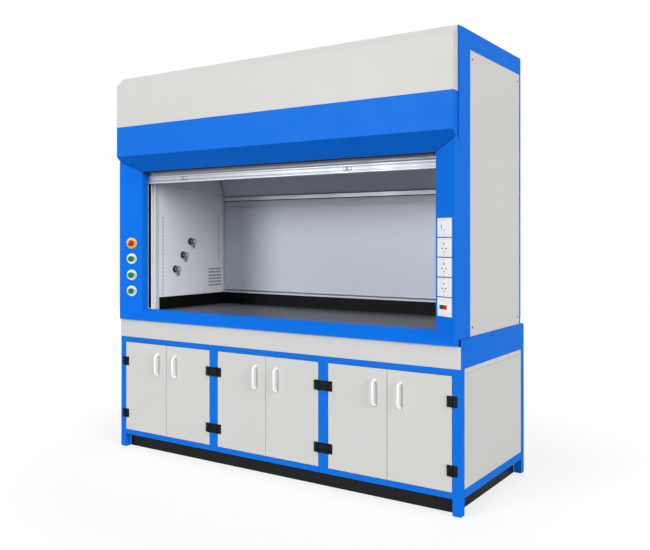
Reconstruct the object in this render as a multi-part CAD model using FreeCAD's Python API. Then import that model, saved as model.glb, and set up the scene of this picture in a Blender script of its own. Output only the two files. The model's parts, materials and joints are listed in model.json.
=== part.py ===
import FreeCAD, Part
import math
import os

# Bypass fume hood standing on a cupboard base, in millimetres.
# X runs to the right seen from the front, Y runs to the back, Z is up, and Z = 0 is the floor.
# Y = 0 is the front plane of the base frame while the pieces are drawn; save() centres the whole.

os.makedirs("parts", exist_ok=True)
V = FreeCAD.Vector
near = 0.01

# Base unit
base_width = 2400.0
base_depth = 900.0
corner_post = 45.0
mid_post = 60.0
tube_wall = 2.0
sheet = 1.5
post_top = 719.0
deck_height = 110.0
deck_tube = 40.0
plinth_setback = 45.0
plinth_height = 82.0
plinth_gap = 1.0
bottom_rail_height = 30.0
low_side_rail_height = 43.0
top_side_rail_height = 27.0
front_rail_height = 34.0
apron_stand = 3.0
partition_thickness = 18.0
floor_thickness = 18.0

# Doors, handles and hinges
door_thickness = 18.0
door_gap = 3.0
door_skin = 1.2
handle_centres = 128.0
handle_width = 12.0
handle_bar = 7.0
handle_reach = 30.0
handle_bend = 18.0
handle_foot = 18.0
handle_foot_plate = 3.0
handle_drop = 65.0
handle_from_seam = 75.0
hinge_height = 55.0
hinge_leaf = 28.0
hinge_plate = 5.0
hinge_bevel = 2.0
hinge_axis_out = 7.0
knuckle_r = 5.5
hinge_pin_r = 2.0
running_clearance = 0.05
knuckle_gap = 0.4
hinge_from_top = 125.0
hinge_from_bottom = 108.0

# Hood body
hood_inset = 10.0
hood_rear_inset = 30.0
hood_height = 2400.0
post_casing_depth = 139.0
rear_strip = 14.0
top_rail_height = 95.0
bearer_tube = 35.0
side_panel_inset = 2.0
panel_gap = 0.5
post_flange = 40.0
ring_front = 14.0
panel_fold = 14.0

# Canopy, fascia and opening frame
canopy_out = 52.5
canopy_inset = 7.0
canopy_top_flat = 30.0
bevel_height = 55.0
fascia_height = 190.0
header_slant_height = 95.0
header_edge_y = 42.0
foil_side = 11.0
foil_reach = 133.0
foil_front = 21.5
foil_return_depth = 90.0
sill_above_deck = 10.0
sill_height = 58.0
sill_back = 100.0
sill_lip = 6.0

# Chamber
worktop_thickness = 25.5
upstand_height = 80.0
upstand_thickness = 12.0
liner_inset = 31.0
liner_board = 8.0
liner_front = 160.0
liner_below_shaft = 70.0
ceiling_to_baffle = 240.0
seam_drop = 685.0
seam_fall = 48.0
seam_gap = 2.0
rear_plenum = 70.0
baffle_gap = 8.0
baffle_sheet = 2.0
baffle_slot = 7.5
baffle_recess = 51.0
trim_height = 12.0
bar_drop = 771.0
bar_height = 26.0
bar_depth = 12.0
bar_proud = 2.0
spacer_half = 8.0
spacer_inset = 209.0
spacer_from_edge = 56.0
grille_to_baffle = 159.0
grille_above_top = 132.5
grille_columns = 9
grille_rows = 6
grille_pitch_y = 15.0
grille_pitch_z = 23.0
grille_slot_y = 10.0
grille_slot_z = 7.0
nozzle_depths = [309.0, 383.0, 456.0]
nozzles_above_top = [261.5, 355.5, 447.5]
nozzle_flange_r = 25.0
nozzle_flange = 5.0
nozzle_flats = 35.0
nozzle_length = 38.0
nozzle_tip_at = 24.0
nozzle_tip_length = 28.0
nozzle_tip_r = 8.0
nozzle_mouth_r = 4.5
nozzle_turn = 14.0
lamp_length = 1300.0
lamp_width = 150.0
lamp_front = 300.0
lamp_height = 60.0

# Sash, suspension and counterweights
sash_show = 78.0
sash_floor_gap = 2.0
sash_overlap = 20.0
header_cover = 26.0
leaf_depth = 22.0
lower_leaf_y = 108.0
leaf_pitch = 30.0
stile_width = 24.0
guide_behind_foil = 2.0
guide_width = 30.0
guide_lip = 2.0
guide_clear = 0.5
leaf_step = 3.0
handle_height = 55.0
handle_front = 88.0
handle_recess = 5.0
handle_lip = 8.0
handle_slope = 10.0
handle_foot_lip = 9.0
handle_edge = 2.0
rail_flange = 5.0
rail_flange_height = 34.0
rail_flange_lip = 3.0
end_cap_width = 24.0
end_cap_depth = 11.0
end_cap_height = 26.0
end_cap_hole = 12.0
pull_places = [-732.0, 492.0]
pull_height = 24.0
pull_r = 8.0
pull_boss = 3.0
pull_wing = 4.0
pull_half = 24.0
top_rail = 16.0
upper_bottom_rail = 12.0
glass_thickness = 6.0
glass_bite = 10.0
sheave_r = 60.0
cable_r = 1.5
groove_drop = 2.6
sheave_rim = 4.0
sheave_width = 12.0
shaft_r = 10.0
shaft_below_roof = 88.5
sash_park_gap = 84.5
shaft_past_guide = 10.0
lower_cable_in = 14.0
upper_cable_out = 8.0
bracket_plate = 6.0
bracket_half = 30.0
bracket_nose = 18.0
bracket_foot = 3.0
bracket_foot_reach = 12.0
weight_x = 64.0
weight_y = 72.0
weight_above_top = 15.5
weight_chamfer = 4.0
eye_r = 7.0
eye_length = 14.0
glass_density = 2.5e-6
aluminium_density = 2.7e-6
iron_density = 7.2e-6

# Controls on the post foils
valves_above_sill = [329.0, 223.0, 119.0]
stop_above_sill = 430.0
bezel_r = 35.0
bezel_thickness = 4.0
bezel_edge = 3.0
bezel_bore_r = 9.0
bezel_wall = 2.5
foil_hole_clear = 0.5
bush_depth = 24.0
spindle_r = 8.95
spindle_end_gap = 2.0
knob_gap = 0.5
knob_r = 19.5
knob_height = 18.0
knob_edge = 3.0
pointer_half = 1.2
stop_r = 20.0
stop_dome = 16.5
stop_travel = 4.0
plate_width = 104.0
plate_height = 93.5
plate_pitch = 98.2
plate_thickness = 9.0
plate_bevel = 2.0
box_width = 73.0
box_height = 58.0
box_depth = 28.0
box_clear = 1.0
pin_depth = 7.0
plates_above_sill = 515.0
plate_bore_r = 6.0
pin_slots = [(0.0, 17.0, 1.9, 4.5), (-14.0, -6.0, 4.0, 1.9), (14.0, -6.0, 4.0, 1.9), (0.0, -20.0, 1.9, 1.9)]
selector_r = 13.0
selector_skirt = 5.0
selector_height = 14.0
selector_stem = 16.0
selector_grip = 8.0
button_width = 26.0
button_height = 20.0
button_travel = 3.0
button_gap = 0.4
button_side = 29.0
button_proud = 7.0
button_edge = 1.5
well_depth = 14.0

# Roof
collar_r = 125.0
collar_wall = 1.5
collar_height = 60.0
collar_flange = 25.0
collar_x = 550.0
collar_to_rear = 350.0

# Sizes that follow from the ones above
half_base = base_width / 2
half_hood = half_base - hood_inset
hood_depth = base_depth - hood_rear_inset
bottom_rail_bottom = plinth_height + plinth_gap
door_bottom = bottom_rail_bottom + bottom_rail_height
side_rail_top = bottom_rail_bottom + low_side_rail_height
side_panel_top = post_top - top_side_rail_height
door_top = post_top - front_rail_height
deck_top = post_top + deck_height
bearer_top = deck_top + bearer_tube
skirt_top = bearer_top
worktop_top = bearer_top + worktop_thickness
sill_bottom = deck_top + sill_above_deck
sill_top = sill_bottom + sill_height
bevel_bottom = hood_height - bevel_height
roof_under = hood_height - sheet
shaft_z = roof_under - shaft_below_roof
sash_closed = sill_top + sash_floor_gap
park_top = shaft_z - sash_park_gap
header_edge_z = (2 * (park_top - header_cover) + sash_closed + sash_show) / 3
fascia_bottom = header_edge_z + header_slant_height
light_panel_bottom = fascia_bottom + fascia_height
canopy_half = half_hood - canopy_inset
foil_outer_half = half_hood - foil_side
opening_half = foil_outer_half - foil_reach
liner_half = opening_half - liner_inset
guide_in = opening_half + guide_behind_foil
guide_base = guide_in + guide_width
shaft_half = guide_base + shaft_past_guide
lower_cable_x = guide_in + lower_cable_in
upper_cable_x = guide_in - upper_cable_out
liner_top = shaft_z - liner_below_shaft
baffle_front = hood_depth - rear_plenum
ceiling_back = baffle_front - ceiling_to_baffle
grille_front = baffle_front - grille_to_baffle
collar_y = hood_depth - collar_to_rear
seam_front_z = hood_height - seam_drop
seam_back_z = seam_front_z - seam_fall
bar_bottom = hood_height - bar_drop
baffle_top = bar_bottom - baffle_recess
trim_top = worktop_top + upstand_height + trim_height
baffle_bottom = trim_top + baffle_slot
grille_bottom = worktop_top + grille_above_top
nozzle_places = [(y, worktop_top + z) for y, z in zip(nozzle_depths, nozzles_above_top)]
sash_raised = header_edge_z - sash_show
weight_bottom = worktop_top + weight_above_top
valve_heights = [sill_top + z for z in valves_above_sill]
stop_height = sill_top + stop_above_sill
bay_width = (base_width - 2 * corner_post - 2 * mid_post) / 3
bay_lefts = [-half_base + corner_post + i * (bay_width + mid_post) for i in range(3)]
sill_angle_z = sill_top - sill_bottom
foil_step_x = foil_outer_half - opening_half
foil_step_y = header_edge_y + foil_front
sash_travel = sash_raised - sash_closed
leaf_height = (header_edge_z + header_cover + sash_overlap - sash_closed) / 2
upper_leaf_y = lower_leaf_y + leaf_pitch
foil_hole_r = bezel_bore_r + bezel_wall + foil_hole_clear
upper_raised = sash_closed + leaf_height - sash_overlap + sash_travel / 2
stile_in = guide_base - guide_lip - guide_clear * 2 - stile_width
drum_r = sheave_r - leaf_pitch
shaft_y = lower_leaf_y + sheave_r
centre_y = (base_depth - canopy_out) / 2


def block(x0, x1, y0, y1, z0, z1):
    """A box between two corners."""
    return Part.makeBox(x1 - x0, y1 - y0, z1 - z0, V(x0, y0, z0))


def mirrored(shape):
    """The same piece on the other side of the object."""
    return shape.mirror(V(0, 0, 0), V(1, 0, 0))


def both_sides(shapes):
    return shapes + [mirrored(s) for s in shapes]


def fused(shapes):
    """Several overlapping or touching forms as one piece."""
    return shapes[0].multiFuse(shapes[1:]).removeSplitter()


def prism_x(points, x0, x1):
    """A (y, z) outline drawn out along X."""
    wire = Part.makePolygon([V(x0, y, z) for y, z in points + points[:1]])
    return Part.Face(wire).extrude(V(x1 - x0, 0, 0))


def prism_y(points, y0, y1):
    """An (x, z) outline drawn out along Y."""
    wire = Part.makePolygon([V(x, y0, z) for x, z in points + points[:1]])
    return Part.Face(wire).extrude(V(0, y1 - y0, 0))


def prism_z(points, z0, z1):
    """An (x, y) outline drawn out along Z."""
    wire = Part.makePolygon([V(x, y, z0) for x, y in points + points[:1]])
    return Part.Face(wire).extrude(V(0, 0, z1 - z0))


def folded(points, thickness):
    """The closed outline of a folded sheet whose outer face runs through the points.

    The thickness goes to the left of the direction of travel."""
    inner = []
    count = len(points)
    for i, (a, b) in enumerate(points):
        turns = []
        for j in (i - 1, i):
            if 0 <= j < count - 1:
                da = points[j + 1][0] - points[j][0]
                db = points[j + 1][1] - points[j][1]
                length = math.hypot(da, db)
                turns.append((-db / length, da / length))
        na = sum(t[0] for t in turns) / len(turns)
        nb = sum(t[1] for t in turns) / len(turns)
        grow = thickness / (na * na + nb * nb)
        inner.append((a + na * grow, b + nb * grow))
    return points + inner[::-1]


def tube_z(x0, x1, y0, y1, z0, z1):
    """An upright rectangular tube with open ends."""
    w = tube_wall
    return block(x0, x1, y0, y1, z0, z1).cut(block(x0 + w, x1 - w, y0 + w, y1 - w, z0, z1))


def tube_x(x0, x1, y0, y1, z0, z1):
    w = tube_wall
    return block(x0, x1, y0, y1, z0, z1).cut(block(x0, x1, y0 + w, y1 - w, z0 + w, z1 - w))


def tube_y(x0, x1, y0, y1, z0, z1):
    w = tube_wall
    return block(x0, x1, y0, y1, z0, z1).cut(block(x0 + w, x1 - w, y0, y1, z0 + w, z1 - w))


def pan(x0, x1, y0, y1, z0, z1, open_side):
    """A folded sheet tray: a box with one open side, given as a direction."""
    w = sheet
    low = [x0 + w, y0 + w, z0 + w]
    high = [x1 - w, y1 - w, z1 - w]
    for i in range(3):
        low[i] -= 2 * w * (open_side[i] < 0)
        high[i] += 2 * w * (open_side[i] > 0)
    return block(x0, x1, y0, y1, z0, z1).cut(block(low[0], high[0], low[1], high[1], low[2], high[2]))


def cylinder(x, y, z, radius, length, axis=V(0, 0, 1)):
    return Part.makeCylinder(radius, length, V(x, y, z), axis)


def revolved_x(profile, x, y, z):
    """A (distance along X, radius) outline turned about an X axis through (x, y, z)."""
    wire = Part.makePolygon([V(x + a, y, z + r) for a, r in profile + profile[:1]])
    return Part.Face(wire).revolve(V(x, y, z), V(1, 0, 0), 360)


def turned(profile):
    """A (radius, height) outline turned about the local Z axis."""
    wire = Part.makePolygon([V(r, 0, h) for r, h in profile + profile[:1]])
    return Part.Face(wire).revolve(V(0, 0, 0), V(0, 0, 1), 360)


def on_foil(shape, side, height):
    """Puts a piece drawn with local X across, Y up and Z outwards on a post foil's slanting face."""
    across = V(foil_step_x, foil_step_y * -side, 0).normalize()
    outward = V(-side * foil_step_y, -foil_step_x, 0).normalize()
    turn = FreeCAD.Rotation(across, V(0, 0, 1), outward, "ZXY")
    middle_x = side * (foil_outer_half + opening_half) / 2
    middle_y = (header_edge_y - foil_front) / 2
    placed = shape.copy()
    placed.Placement = FreeCAD.Placement(V(middle_x, middle_y, height), turn)
    return placed


def save(name, solids):
    """Writes one sub-part, with the whole object centred on its footprint."""
    piece = solids[0] if len(solids) == 1 else Part.makeCompound(solids)
    piece = piece.copy()
    piece.translate(V(0, -centre_y, 0))
    piece.exportStep("parts/" + name + ".step")


def base_frame():
    """The welded frame: posts, rails between them and the deck that carries the worktop."""
    p = corner_post
    rear = base_depth - p
    pieces = []
    for y in (0, rear):
        pieces += both_sides([tube_z(half_base - p, half_base, y, y + p, 0, post_top)])
    for left in bay_lefts[1:]:
        pieces.append(tube_z(left - mid_post, left, 0, p, 0, post_top))
    for left in bay_lefts:
        right = left + bay_width
        rail_top = door_bottom - door_gap / 2
        pieces.append(tube_x(left, right, 0, p, bottom_rail_bottom, rail_top))
        pieces.append(tube_x(left, right, 0, p, door_top + door_gap / 2, post_top))
    inside = half_base - p
    pieces.append(tube_x(-inside, inside, rear, base_depth, bottom_rail_bottom, side_rail_top))
    pieces.append(tube_x(-inside, inside, rear, base_depth, side_panel_top, post_top))
    pieces += both_sides([
        tube_y(half_base - p, half_base, p, rear, bottom_rail_bottom, side_rail_top),
        tube_y(half_base - p, half_base - 2 * sheet, p, rear, side_panel_top, post_top),
        tube_y(half_base - p, half_base - sheet, deck_tube, base_depth - deck_tube, post_top, deck_top)])
    edge = half_base - sheet
    pieces.append(tube_x(-edge, edge, 0, deck_tube, post_top, deck_top))
    pieces.append(tube_x(-edge, edge, base_depth - deck_tube, base_depth, post_top, deck_top))
    for left in bay_lefts[1:]:
        pieces.append(tube_y(left - mid_post, left, deck_tube, base_depth - deck_tube, post_top, deck_top))
        pieces.append(tube_y(left - mid_post, left, p, rear, bottom_rail_bottom, side_rail_top))
    return pieces


def base_side_panels():
    """Flat side sheets between the posts, with the sloping ledge strip above each."""
    y0 = corner_post + door_gap / 2
    y1 = base_depth - corner_post - door_gap / 2
    face = half_base - sheet
    side = pan(face - panel_fold, face, y0, y1, side_rail_top, side_panel_top, (-1, 0, 0))
    ledge = prism_y([(face - sheet, side_panel_top + sheet), (half_base, side_panel_top + sheet),
                     (face - sheet, post_top - sheet)], y0, y1)
    return both_sides([side, ledge])


def back_panels():
    """Two sheets that close the back: one behind the cupboards, one behind the hood."""
    inside = half_base - corner_post
    lower = block(-inside, inside, base_depth - sheet, base_depth, side_rail_top, side_panel_top)
    x = half_hood - panel_fold - sheet
    upper = pan(-x, x, hood_depth - panel_fold, hood_depth, deck_top, roof_under, (0, -1, 0))
    return [lower, upper]


def cupboard_panels():
    """The cupboards' floor boards and the partitions behind the mid posts."""
    y0 = corner_post
    y1 = base_depth - corner_post
    half = partition_thickness / 2
    end = half_base - sheet - panel_fold
    middles = [left - mid_post / 2 for left in bay_lefts[1:]]
    lefts = [-end] + [x + half for x in middles]
    rights = [x - half for x in middles] + [end]
    pieces = []
    for x0, x1 in zip(lefts, rights):
        pieces.append(block(x0, x1, y0, y1, side_rail_top, side_rail_top + floor_thickness))
    for x in middles:
        pieces.append(block(x - half, x + half, y0, y1, side_rail_top, post_top))
    return pieces


def plinth():
    """The black recessed kick plinth, a folded ring under the frame."""
    x = half_base - plinth_setback
    y0 = plinth_setback
    y1 = base_depth - plinth_setback
    w = 2 * sheet
    front = block(-x, x, y0, y0 + w, 0, plinth_height)
    back = block(-x, x, y1 - w, y1, 0, plinth_height)
    side = block(x - w, x, y0 + w, y1 - w, 0, plinth_height)
    return [front, back] + both_sides([side])


def apron_panel():
    """The light panel across the front of the deck, a shallow tray with a folded rim."""
    tray = pan(-half_base, half_base, -apron_stand, 0, post_top, deck_top + sheet, (0, 1, 0))
    return [tray]


def door_side(index):
    """+1 where a door hangs on its right edge, -1 where it hangs on its left edge."""
    return 1 if index % 2 else -1


def door_edges(index):
    """The x of a door's hanging edge and of its free edge."""
    left = bay_lefts[index // 2]
    seam = left + bay_width / 2
    hung = left + bay_width - door_gap if index % 2 else left + door_gap
    free = seam + door_gap / 2 if index % 2 else seam - door_gap / 2
    return hung, free


def door(index):
    """A double-skinned door: a folded tray closed by an inner skin."""
    hung, free = door_edges(index)
    x0, x1 = min(hung, free), max(hung, free)
    z0, z1 = door_bottom + door_gap / 2, door_top - door_gap / 2
    w = door_skin
    slab = block(x0, x1, 0, door_thickness, z0, z1)
    return slab.cut(block(x0 + w, x1 - w, w, door_thickness - w, z0 + w, z1 - w))


def handle_x(index):
    seam = bay_lefts[index // 2] + bay_width / 2
    return seam + handle_from_seam * door_side(index)


def handle_feet():
    top = door_top - handle_drop
    return [top, top - handle_centres]


def bow_handle(index):
    """A moulded bow handle: a flat bar with two round bends, on two square feet."""
    x = handle_x(index)
    top, bottom = handle_feet()
    half = handle_width / 2
    t = handle_bar
    bow = block(x - half, x + half, -handle_reach, 0, bottom - t / 2, top + t / 2)
    bow = bow.makeFillet(handle_bend, front_edges(bow, -handle_reach))
    gap = block(x - half, x + half, t - handle_reach, 0, bottom + t / 2, top - t / 2)
    gap = gap.makeFillet(handle_bend - t, front_edges(gap, t - handle_reach))
    foot = handle_foot / 2
    feet = [block(x - foot, x + foot, -handle_foot_plate, 0, z - foot, z + foot) for z in (top, bottom)]
    return fused([bow.cut(gap)] + feet)


def front_edges(shape, y):
    """The two edges along X on a block's front face."""
    return [e for e in shape.Edges if e.BoundBox.YMax < y + near and e.BoundBox.ZLength < near]


def hinge_axis(index):
    hung, _ = door_edges(index)
    return hung + door_gap / 2 * door_side(index)


def hinge_heights():
    return [door_top - hinge_from_top, door_bottom + hinge_from_bottom]


def hinge_plan(x, direction):
    """A hinge leaf's plan with a bevelled outer end: from the knuckle's clearance to the leaf's end."""
    clear = knuckle_r + knuckle_gap
    points = [(clear, 0), (clear, -hinge_plate), (hinge_leaf - hinge_bevel, -hinge_plate),
              (hinge_leaf, hinge_bevel - hinge_plate), (hinge_leaf, 0)]
    return [(x + direction * a, b) for a, b in points]


def knuckle(x, z0, z1, direction, bore):
    """One eight-sided barrel of a hinge with the web to its leaf, bored if it turns on the pin."""
    corners = [math.radians(22.5 + 45 * i) for i in range(8)]
    r = knuckle_r
    barrel = prism_z([(x + r * math.cos(a), r * math.sin(a) - hinge_axis_out) for a in corners], z0, z1)
    root = direction * (knuckle_r + knuckle_gap)
    start = direction * hinge_pin_r
    web = prism_z([(x, -hinge_plate), (x + root, -hinge_plate), (x + root, 0), (x + start, 0)], z0, z1)
    barrel = barrel.fuse(web)
    if bore:
        barrel = barrel.cut(cylinder(x, -hinge_axis_out, z0, bore, z1 - z0))
    return barrel


def hinge_post_leaf(index, z):
    """The fixed leaf: outer knuckles that hold the pin."""
    x = hinge_axis(index)
    direction = door_side(index)
    z0 = z - hinge_height / 2
    third = hinge_height / 3
    leaf = prism_z(hinge_plan(x, direction), z0, z0 + hinge_height)
    low = knuckle(x, z0, z0 + third, direction, 0)
    high = knuckle(x, z0 + 2 * third, z0 + hinge_height, direction, 0)
    pin = cylinder(x, -hinge_axis_out, z0 + third, hinge_pin_r, third)
    return fused([leaf, low, high, pin])


def hinge_door_leaf(index, z):
    """The moving leaf: one middle knuckle that turns on the pin."""
    x = hinge_axis(index)
    direction = -door_side(index)
    z0 = z - hinge_height / 2
    third = hinge_height / 3
    leaf = prism_z(hinge_plan(x, direction), z0, z0 + hinge_height)
    middle = knuckle(x, z0 + third + knuckle_gap, z0 + 2 * third - knuckle_gap, direction,
                     hinge_pin_r + running_clearance)
    return fused([leaf, middle])


def front_posts():
    """The blue front posts of the hood, each folded from one sheet to a channel that is open inwards."""
    h = half_hood
    f = h - post_flange
    line = [(f, sheet), (f, 0), (h, 0), (h, post_casing_depth), (f, post_casing_depth)]
    return both_sides([prism_z(folded(line, sheet), skirt_top, roof_under)])


def upper_frame():
    """The hood's blue casing behind the posts: rear strips, top rails, side skirts and the bearer ring."""
    h = half_hood
    f = h - post_flange
    rear_y = hood_depth - rear_strip
    rear_post = prism_z(folded([(h - sheet * 2, rear_y), (h, rear_y), (h, hood_depth + sheet),
                                (f, hood_depth + sheet)], sheet), skirt_top, roof_under)
    rail_bottom = hood_height - top_rail_height
    side_rail = prism_y(folded([(h - panel_fold, rail_bottom), (h, rail_bottom), (h, roof_under),
                                (f, roof_under)], sheet), post_casing_depth, rear_y)
    b = half_base
    fold = h - panel_fold
    skirt = prism_y(folded([(b - sheet, post_top), (b, post_top), (b, skirt_top), (fold, skirt_top)], sheet),
                    0, base_depth)
    outer = h - side_panel_inset - panel_fold - sheet
    w = deck_tube
    front = ring_front + w
    back = hood_depth - panel_fold
    ring_side = tube_y(outer - w, outer, front, back - w, deck_top, bearer_top)
    ring = [tube_x(-outer, outer, ring_front, front, deck_top, bearer_top),
            tube_x(-outer, outer, back - w, back, deck_top, bearer_top)]
    cross = [tube_y(left - mid_post, left, front, back - w, deck_top, bearer_top) for left in bay_lefts[1:]]
    return both_sides([rear_post, side_rail, skirt, ring_side]) + ring + cross


def upper_side_panels():
    """The two lift-off panels over the sash weights."""
    face = half_hood - side_panel_inset
    panel = pan(face - panel_fold, face, post_casing_depth + panel_gap, hood_depth - rear_strip - panel_gap,
                skirt_top + panel_gap, hood_height - top_rail_height - panel_gap, (-1, 0, 0))
    return both_sides([panel])


def collar_places():
    return [(-collar_x, collar_y), (collar_x, collar_y)]


def roof_panel():
    """The roof sheet with its two duct holes."""
    roof = block(-half_hood, half_hood, canopy_top_flat, hood_depth + sheet, roof_under, hood_height)
    for cx, cy in collar_places():
        roof = roof.cut(cylinder(cx, cy, roof_under, collar_r - collar_wall, sheet))
    return [roof]


def duct_collars():
    """Round spigots with a flange, on which the exhaust ducts are pushed."""
    pieces = []
    inner = collar_r - collar_wall
    rim = collar_r + collar_flange
    top = collar_height + sheet
    for cx, cy in collar_places():
        outer = collar_r
        collar = turned([(inner, 0), (rim, 0), (rim, sheet), (outer, sheet), (outer, top), (inner, top)])
        collar.translate(V(cx, cy, hood_height))
        pieces.append(collar)
    return pieces


def front_top_panel():
    """The light canopy panel: upright face, bevelled top and two cheeks."""
    line = [(-canopy_out, light_panel_bottom), (-canopy_out, bevel_bottom), (0, hood_height),
            (canopy_top_flat, hood_height)]
    skin = prism_x(folded(line[::-1], sheet), -canopy_half, canopy_half)
    cheek = prism_x(line[:3] + [(0, light_panel_bottom)], canopy_half - sheet, canopy_half)
    floor = block(-canopy_half, canopy_half, -canopy_out, -canopy_out + panel_fold,
                  light_panel_bottom, light_panel_bottom + sheet)
    return [clear_of_posts(fused([skin, cheek, mirrored(cheek), floor]))]


def clear_of_posts(shape):
    """Cuts a canopy piece back where it would run into the front posts' flanges."""
    post = block(half_hood - post_flange, half_hood, 0, post_casing_depth, 0, roof_under)
    return shape.cut(post).cut(mirrored(post))


def header_line():
    return [(-canopy_out, light_panel_bottom), (-canopy_out, fascia_bottom), (header_edge_y, header_edge_z),
            (header_edge_y, header_edge_z + panel_fold * 2)]


def header_height_at(y):
    """The height of the header's slanting underside at a depth."""
    share = (y + canopy_out) / (header_edge_y + canopy_out)
    return fascia_bottom + share * (header_edge_z - fascia_bottom)


def fascia_header():
    """The blue fascia and its slanting underside, folded from one sheet, with two cheeks."""
    skin = prism_x(folded(header_line(), sheet), -canopy_half, canopy_half)
    cheek = prism_x(header_line()[:2] + [(0, header_height_at(0)), (0, light_panel_bottom)],
                    canopy_half - sheet, canopy_half)
    rim = block(-canopy_half, canopy_half, -canopy_out, -canopy_out + panel_fold,
                light_panel_bottom - sheet, light_panel_bottom)
    return [clear_of_posts(fused([skin, cheek, mirrored(cheek), rim]))]


def post_foils():
    """The slanting foils on both sides of the opening, mitred to the sill and cut to the header."""
    h = half_hood
    line = [(h, 0), (h, -foil_front), (foil_outer_half, -foil_front), (opening_half, header_edge_y),
            (opening_half, foil_return_depth), (opening_half + panel_fold, foil_return_depth)]
    foil = prism_z(folded(line[::-1], sheet), deck_top + 2 * sheet, bevel_bottom)
    front = -2 * canopy_out
    back = 2 * foil_return_depth
    above = [(front, header_height_at(front)), (header_edge_y, header_edge_z), (back, header_edge_z),
             (back, hood_height), (front, hood_height)]
    foil = foil.cut(prism_x(above, 0, base_width))
    foil = foil.cut(prism_y(mitre_outline(), front, back))
    right = foil.copy()
    w = box_width / 2 + box_clear
    d = box_height / 2 + box_clear
    for i in range(5):
        cut_out = block(-w, w, -d, d, -box_depth, box_depth)
        right = right.cut(on_foil(cut_out, 1, plate_height_at(i)))
    left = mirrored(foil)
    for z in [stop_height] + valve_heights:
        hole = cylinder(0, 0, -bezel_r, foil_hole_r, 2 * bezel_r)
        left = left.cut(on_foil(hole, -1, z))
    return [right, left]


def mitre_outline():
    """The (x, z) region below the mitre line between a post foil and the sill foil."""
    slope = sill_angle_z / foil_step_x
    far = 2 * half_hood
    return [(0, sill_top), (opening_half, sill_top), (far, sill_top - (far - opening_half) * slope),
            (far, -half_hood), (0, -half_hood)]


def sill_foil():
    """The slanting sill, mitred to the post foils, with a flat lip over the worktop's front edge."""
    low = sill_bottom - sill_lip
    line = [(sheet, low), (-foil_front, low), (-foil_front, sill_bottom),
            (header_edge_y, sill_top), (sill_back, sill_top), (sill_back, bearer_top)]
    sill = prism_x(folded(line[::-1], sheet), -half_hood, half_hood)
    outline = mitre_outline()
    keep = prism_y(outline, -2 * canopy_out, header_edge_y)
    keep = keep.fuse(mirrored(keep))
    lip = block(-opening_half, opening_half, header_edge_y, sill_back, 0, sill_top)
    return [sill.common(keep.fuse(lip)).removeSplitter()]


def worktop():
    """A black cast slab with upstands at the sides and the rear."""
    y0 = sill_back
    y1 = hood_depth - panel_fold
    slab = block(-guide_in, guide_in, y0, y1, bearer_top, worktop_top)
    top = worktop_top + upstand_height
    rear = block(-liner_half, liner_half, baffle_front - upstand_thickness, baffle_front, worktop_top, top)
    side = block(liner_half - upstand_thickness, liner_half, liner_front, baffle_front - upstand_thickness,
                 worktop_top, top)
    return [slab, rear] + both_sides([side])


def liner_side():
    """One chamber wall in two boards with a sloping seam, notched round the sheave shaft."""
    back = hood_depth - panel_fold
    x0, x1 = liner_half, liner_half + liner_board
    seam = [(liner_front, seam_front_z), (back, seam_back_z)]
    lower = prism_x([(liner_front, worktop_top), (back, worktop_top), (back, seam_back_z), seam[0]], x0, x1)
    upper = prism_x([(liner_front, seam_front_z + seam_gap), (back, seam_back_z + seam_gap),
                     (back, roof_under), (shaft_y + sheave_r * 2, roof_under),
                     (shaft_y + sheave_r * 2, liner_top), (liner_front, liner_top)], x0, x1)
    jamb = block(liner_half, guide_base, liner_front - 2 * guide_lip, liner_front, worktop_top, liner_top)
    return lower, upper, jamb


def grille_slots():
    slots = []
    for i in range(grille_columns):
        for j in range(grille_rows):
            y = grille_front + i * grille_pitch_y
            z = grille_bottom + j * grille_pitch_z
            slots.append(block(-liner_half - 2 * liner_board, 0, y, y + grille_slot_y, z, z + grille_slot_z))
    return Part.makeCompound(slots)


def chamber_liner():
    """Side boards, front jambs and the ceiling with its lamp opening."""
    lower, upper, jamb = liner_side()
    left = mirrored(lower).cut(grille_slots())
    ceiling = block(-liner_half, liner_half, liner_front, ceiling_back, liner_top - liner_board, liner_top)
    ceiling = ceiling.cut(block(-lamp_length / 2, lamp_length / 2, lamp_front, lamp_front + lamp_width,
                                liner_top - liner_board, liner_top))
    return [lower, left, upper, mirrored(upper), jamb, mirrored(jamb), ceiling]


def baffles():
    """The rear baffles: main sheet, recessed upper strip, bar, sloping upper sheet, trim and spacers."""
    x = liner_half - baffle_gap
    y0 = baffle_front
    w = baffle_sheet
    main = pan(-x, x, y0, y0 + panel_fold, baffle_bottom, baffle_top, (0, 1, 0))
    recess = y0 + bar_depth
    line = [(recess + w, baffle_top + w), (recess, baffle_top + w), (recess, bar_bottom + bar_height),
            (ceiling_back, liner_top - liner_board)]
    upper = prism_x(folded(line[::-1], w), -x, x)
    bar = block(-x, x, y0 - bar_proud, recess, bar_bottom, bar_bottom + bar_height)
    trim = block(-x, x, y0 - upstand_thickness, y0, trim_top - trim_height, trim_top)
    spacers = []
    r = spacer_half
    back = hood_depth - sheet
    spacer_x = liner_half - spacer_inset
    for sx in (-spacer_x, 0, spacer_x):
        for sz in (baffle_bottom + spacer_from_edge, baffle_top - spacer_from_edge):
            spacers.append(block(sx - r, sx + r, y0 + sheet, back, sz - r, sz + r))
        spacers.append(block(sx - r, sx + r, recess + w, back, bar_bottom - r, bar_bottom + r))
    return [main, upper, bar, trim] + spacers


def light_fixture():
    """The sealed lamp over the ceiling: a lens in the opening and a housing on top."""
    x = lamp_length / 2
    y0, y1 = lamp_front, lamp_front + lamp_width
    g = panel_gap
    lens = block(-x + g, x - g, y0 + g, y1 - g, liner_top - liner_board, liner_top)
    housing = pan(-x - panel_fold, x + panel_fold, y0 - panel_fold, y1 + panel_fold, liner_top,
                  liner_top + lamp_height, (0, 0, -1))
    return [lens, housing]


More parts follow.
